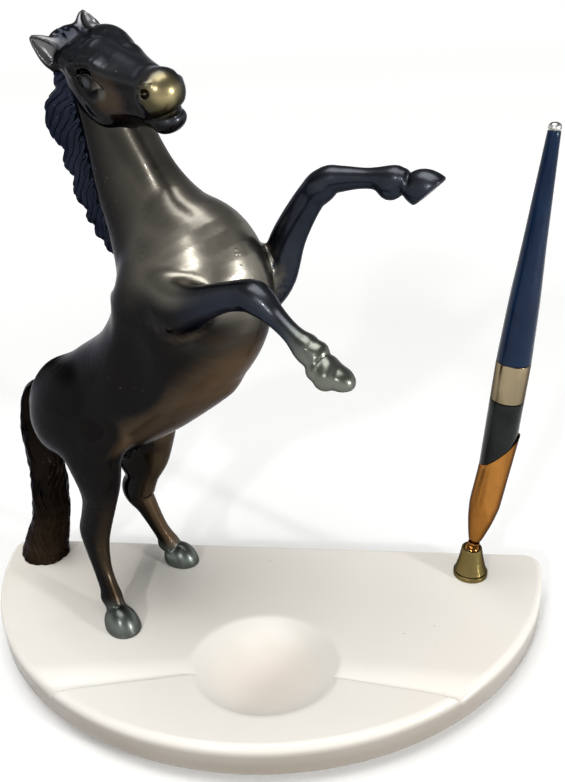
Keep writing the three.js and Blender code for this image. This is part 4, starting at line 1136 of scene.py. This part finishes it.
def make_base():
    rim = []
    for inset, share in SIDE_ROWS:
        outline = base_outline(inset)
        height = FELT_TOP + BEVEL_HEIGHT * share
        rim.append(np.column_stack([outline, np.full(len(outline), height)]))
    for a in np.linspace(0, math.pi / 2, ROUND_ROWS):
        outline = base_outline(RIM_ROUND * (1 - math.cos(a)))
        height = SLAB_TOP - RIM_ROUND * (1 - math.sin(a)) - hollow(*outline.T)
        rim.append(np.column_stack([outline, height]))
    inner = rim[-1][:, :2]
    count = len(inner)
    flat = np.concatenate([inner, grid_inside(inner)])
    edges = [(i, (i + 1) % count) for i in range(count)]
    made = delaunay_2d_cdt([Vector(p) for p in flat.tolist()], edges, [], 1, 1e-5)
    source = [found[0] for found in made[3]]
    top = np.column_stack([flat, SLAB_TOP - hollow(*flat.T)])
    shift = (len(rim) - 1) * count
    faces = [face[1:] + face[:1] for face in joined(rim)]
    faces += [[shift + source[i] for i in face] for face in made[2]]
    points = [*rim, top[count:]]
    used = shift + len(top)
    for place in SCREW_PLACES:
        cup = counterbore(place)
        faces += [[used + i for i in face] for face in joined(cup)]
        points += cup
        used += sum(len(r) for r in cup)
    points = np.concatenate(points)
    # the rim's side, where its painted shade goes
    side = np.zeros(len(points))
    shares = [*np.ones(len(SIDE_ROWS)), *np.linspace(1, 0, ROUND_ROWS)]
    side[: count * len(rim)] = np.repeat(shares, count)
    x, y, z = points.T
    # depth in the hollows, which sets the painted glow in the dish
    depth = hollow(x, y) * (z > DISH_DEPTH / 2)
    attributes = {"side": side, "deep": ramp_up(2, DISH_DEPTH, depth)}
    points = points + np.array([0, BASE_DEPTH / 2, 0])
    return make_mesh("fine_onyx_base", points, faces, attributes, 60)


def make_horse():
    bronze, hair = bronze_material(), hair_material()
    for piece in horse_pieces():
        name = piece.name.removeprefix("fine_")
        is_hair = name in ("horse_mane", "horse_tail")
        dress(piece, hair if is_hair else bronze)
        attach(piece, "base")
        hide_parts(name)


# Turned pieces, as rings: the trumpet's frame stands in the ball, and the pen's in the trumpet
SEGMENTS = 96
TURN = np.arange(SEGMENTS) * 2 * math.pi / SEGMENTS
BALL_PLACE = np.array([77.6, 35.5, 26.5])
BALL_RADIUS, NECK_RADIUS, CUP_RADIUS = 3, 1.6, 3.25
TRUMPET_LEAN, PEN_LEAN = math.radians(9.2), math.radians(4.6)
PEN_CROSSING = np.array([0, 0, 38.5])
LIP_HEIGHT, LIP_RISE, LIP_GAP = 43.7, math.tan(math.radians(52)), 0.45
SHELL_RADIUS, SHELL_BORE, FLARE_TOP = 5.4, 4.8, 23.5
PEN_RADIUS, LINER_BORE, SLEEVE_RADIUS, SLEEVE_BOTTOM = 5.6, 3.9, 4.5, 22.5
BAND_BOTTOM, BAND_TOP = 24.6, 38.1

# Profiles: radius and height of each ring
TRUMPET_FLARE = [(1.8, 4.4), (2.5, 6), (3.4, 9.5), (4.4, 14), (5, 18), (5.35, 21), (5.4, 23.5)]
TRUMPET_BORE = [(4.8, 23.5), (4.4, 18), (3.8, 14), (2.8, 10.6), (2.4, 9.2), (0.01, 9.2)]
BARREL = [(5.6, 38.4), (5.4, 43.9), (4.75, 59.8), (3.75, 75.7), (2.95, 91.3), (1.95, 110.3)]
BARREL_FOOT = [(4.3, BAND_BOTTOM + 1.2), (4.3, BAND_TOP + 0.3), (5.45, BAND_TOP + 0.3)]
BARREL_TIP = [(1.9, 110.46), (1.75, 110.5), (0.65, 110.5), (0.65, 108), (0.01, 108)]
NECK = [(NECK_RADIUS, 2.8), (NECK_RADIUS, 3.2), (1.7, 3.35), (2, 3.42), (2.1, 3.52), (2.1, 4),
        (2, 4.1), (0.01, 4.1)]
FINIAL = [(0.6, 108.4), (0.6, 110.8), (1.78, 110.8), (1.9, 110.92), (1.9, 111.6),
          (1.78, 112), (1.5, 112.4), (1, 112.68), (0.5, 112.78), (0.01, 112.8)]
BELL = [(5.75, 18.25), (5.1, 20.6), (4.5, 23.2), (4, 25.9), (3.65, 27.8)]
BELL_FOOT = [(2.2, 16), (6.05, 16), (6.2, 16.15)]
BELL_MOUTH = [(3.6, 27.95), (3.5, 28), (2.95, 28)]


def about_y(points, angle):
    c, s = math.cos(angle), math.sin(angle)
    x, y, z = points.T
    return np.column_stack([x * c + z * s, y, z * c - x * s])


def in_pen(points):
    return about_y(points, PEN_LEAN - TRUMPET_LEAN) + PEN_CROSSING


def in_trumpet(points):
    return about_y(points, TRUMPET_LEAN) + BALL_PLACE


def pen_in_trumpet(points):
    return in_trumpet(in_pen(points))


def on_post(points):
    return points + BALL_PLACE * np.array([1, 1, 0])


def ring(radius, height, slope=0.0):
    """A circle, or an oblique oval on a plane that rises along x."""
    x, y = radius * np.cos(TURN), radius * np.sin(TURN)
    return np.column_stack([x, y, height + slope * x])


def rings(profile, finer=1):
    profile = smooth_run(profile, finer) if finer > 1 else profile
    return [ring(max(r, 0.001), h) for r, h in profile]


def arc(radius, height, start, end, steps):
    """Part of a ball's profile about a place on the axis."""
    return [(radius * math.cos(a), height + radius * math.sin(a))
            for a in np.linspace(start, end, steps)]


def rounded(radius, height, size, down=False):
    """The quarter round where a wall meets a flat end."""
    angle = np.linspace(0, math.pi / 2, 4)
    drop = size * (1 - np.sin(angle))
    rows = list(zip(radius - size * (1 - np.cos(angle)), height + (drop if down else -drop)))
    return rows[::-1] if down else rows


def trumpet_shell():
    foot = [ring(1.3, 4.4), ring(1.7, 4.4)]
    shares = np.linspace(0, 1, 9)[1:]
    rise = LIP_HEIGHT - 0.1 - FLARE_TOP
    wall = [ring(SHELL_RADIUS, FLARE_TOP + share * rise, LIP_RISE * share) for share in shares]
    lip = [ring(r, LIP_HEIGHT - h, LIP_RISE) for r, h in ((5.3, 0), (4.9, 0), (SHELL_BORE, 0.1))]
    return foot + rings(TRUMPET_FLARE, 5) + wall + lip + rings(TRUMPET_BORE)


def trumpet_liner():
    """A sleeve in the shell, and a collar that fills the slant between its lip and the band."""
    c, s = math.cos(PEN_LEAN - TRUMPET_LEAN), math.sin(PEN_LEAN - TRUMPET_LEAN)
    low = (LIP_HEIGHT + LIP_GAP - PEN_CROSSING[2]) / (c - LIP_RISE * s)
    slope = (LIP_RISE * c + s) / (c - LIP_RISE * s)
    top = BAND_BOTTOM - 0.3
    collar = [ring(5.5, low, slope)]
    for share in np.linspace(0, 1, 8):
        height = (low + 0.1) * (1 - share) + (top - 0.15) * share
        collar.append(ring(PEN_RADIUS, height, slope * (1 - share)))
    collar += rings([(5.56, top - 0.04), (5.45, top), (LINER_BORE, top), (LINER_BORE, 0)])
    mouth = ring(SLEEVE_RADIUS, LIP_HEIGHT + LIP_GAP, LIP_RISE)
    bore = ring(LINER_BORE, SLEEVE_BOTTOM)
    return [bore, ring(SLEEVE_RADIUS, SLEEVE_BOTTOM), mouth, *[in_pen(r) for r in collar], bore]


def turned_pieces():
    """Name, rings, place, slot and body of each turned piece."""
    ball = arc(BALL_RADIUS, 0, -math.pi / 2, math.acos(NECK_RADIUS / BALL_RADIUS), 28)
    band = [(4.5, BAND_BOTTOM), *rounded(PEN_RADIUS, BAND_BOTTOM, 0.25, True), (PEN_RADIUS, 31),
            *rounded(PEN_RADIUS, BAND_TOP, 0.25), (4.5, BAND_TOP), (4.5, BAND_BOTTOM)]
    cup = arc(CUP_RADIUS, BALL_PLACE[2], math.asin(1.5 / CUP_RADIUS), 0, 6)
    bell = [*BELL_FOOT, *rounded(6.2, 17.8, 0.2), (5.7, 17.85), (5.68, 18.1),
            *smooth_run(BELL, 5).tolist(), *BELL_MOUTH, *cup, (CUP_RADIUS, 20.2), BELL_FOOT[0]]
    barrel = rings(BARREL_FOOT) + rings(BARREL, 8) + rings(BARREL_TIP)
    return [
        ("swivel_ball", rings(ball + NECK), in_trumpet, "gold_plate", "trumpet"),
        ("trumpet_shell", trumpet_shell(), in_trumpet, "gold_plate", "trumpet"),
        ("trumpet_liner", trumpet_liner(), in_trumpet, "black_plastic", "trumpet"),
        ("pen_barrel", barrel, pen_in_trumpet, "navy_plastic", "pen"),
        ("pen_trim_band", rings(band), pen_in_trumpet, "gold_plate", "pen"),
        ("pen_finial", rings(FINIAL), pen_in_trumpet, "gold_plate", "pen"),
        ("socket_bell", rings(bell), on_post, "socket_brass", "base"),
    ]


def make_turned(looks):
    for name, outline, to_place, slot, body in turned_pieces():
        points = to_place(np.concatenate(outline))
        obj = make_mesh("fine_" + name, points, joined(outline), {}, 38)
        dress(obj, looks[name])
        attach(obj, body)
        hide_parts(name)


def make_looks():
    """The material of each CAD node and new piece; steel serves for all that isn't named."""
    gold = turned_metal("gold_fine", (0.42, 0.18, 0.04), (0.08, 0.033, 0.012), 0.16)
    pale_gold = turned_metal("pale_gold_fine", (0.31, 0.25, 0.155), (0.10, 0.08, 0.05), 0.18)
    brass = turned_metal("brass_fine", (0.24, 0.185, 0.07), (0.075, 0.055, 0.02), 0.2, 500)
    steel = turned_metal("steel_fine", (0.62, 0.61, 0.58), (0.33, 0.32, 0.30), 0.28)
    black = glossy_plastic("black_fine", (0.004, 0.005, 0.005), (0.02, 0.024, 0.024))
    navy = glossy_plastic("navy_fine", (0.003, 0.011, 0.036), (0.006, 0.026, 0.066))
    return {
        "onyx_base": onyx_material(), "felt_pad": felt_material(), "socket_bell": brass,
        "trumpet_shell": gold, "swivel_ball": gold, "pen_trim_band": pale_gold,
        "pen_finial": steel, "trumpet_liner": black, "pen_grip_section": black,
        "pen_barrel": navy, "steel": steel,
    }


def dress_nodes(looks):
    for name, obj in nodes.items():
        dress(obj, looks.get(name, looks["steel"]))


# Studio
FLOOR_CURVE = [(0.01, 0), (0.4, 0), (2, 0), (12, 0), (14, 0.2), (16, 0.8), (17.5, 2), (18, 4)]
FLOOR_GLOW = [(0, 0.14), (0.07, 0.22), (0.16, 0.6), (0.4, 0.8), (1, 0.88)]
ROOM_TONES = [(0, 1.0), (0.26, 0.97), (0.42, 0.4), (0.7, 0.24)]
ROOM_LIGHT = 0.45
LAMP_TARGET = Vector((0, 0, 0.1))


def make_floor():
    """A wide pale disc that curves up at its rim; camera and metals see it a little brighter."""
    outline = [ring(r, h) for r, h in FLOOR_CURVE]
    floor = make_mesh("floor", np.concatenate(outline) / MM, joined(outline), {}, 38)
    t = new_tree("floor")
    away = t.node("VectorMath", {"Vector": t.place()}, operation="LENGTH").outputs["Value"]
    glow = t.times(t.seen(), t.ramp(t.times(away, 0.2), *FLOOR_GLOW))
    dress(floor, t.finish(Base_Color=(0.87, 0.87, 0.86), Roughness=0.9, Specular_IOR_Level=0.1,
                          Emission_Color=(1.0, 1.0, 0.99), Emission_Strength=glow))


def lamp(name, towards, distance, size, power):
    """An area lamp in the given direction from the middle of the set."""
    data = bpy.data.lights.new(name, "AREA")
    data.shape = "RECTANGLE"
    data.size, data.size_y = size
    data.energy = power
    obj = add_object(name, data)
    obj.location = LAMP_TARGET + Vector(towards).normalized() * distance
    obj.rotation_mode = "QUATERNION"
    obj.rotation_quaternion = (LAMP_TARGET - obj.location).to_track_quat("-Z", "Y")


def make_light():
    """A room that is pale up to the backdrop's height and dimmer above, and three lamps."""
    t = Tree(bpy.data.worlds.new("studio"))
    bpy.context.scene.world = t.owner
    tone = t.ramp(t.axis("Z", "Generated"), *ROOM_TONES)
    strength = t.node("MapRange", {"Value": t.seen(), "To Min": ROOM_LIGHT}).outputs["Result"]
    t.finish("Background", Color=tone, Strength=strength)
    lamp("side", (0.849, -0.462, 0.19), 0.8, (0.045, 0.12), 3.0)
    lamp("front", (-0.228, -0.857, 0.45), 0.9, (0.045, 0.045), 2.0)
    lamp("above", (-0.1, -0.1, 1.0), 1.3, (1.0, 1.0), 15.5)


make_camera()
looks = make_looks()
dress_nodes(looks)
base = make_base()
dress(base, looks["onyx_base"])
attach(base, "base")
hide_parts("onyx_base")
make_turned(looks)
make_horse()
make_floor()
make_light()
bpy.context.scene.view_settings.view_transform = "Standard"
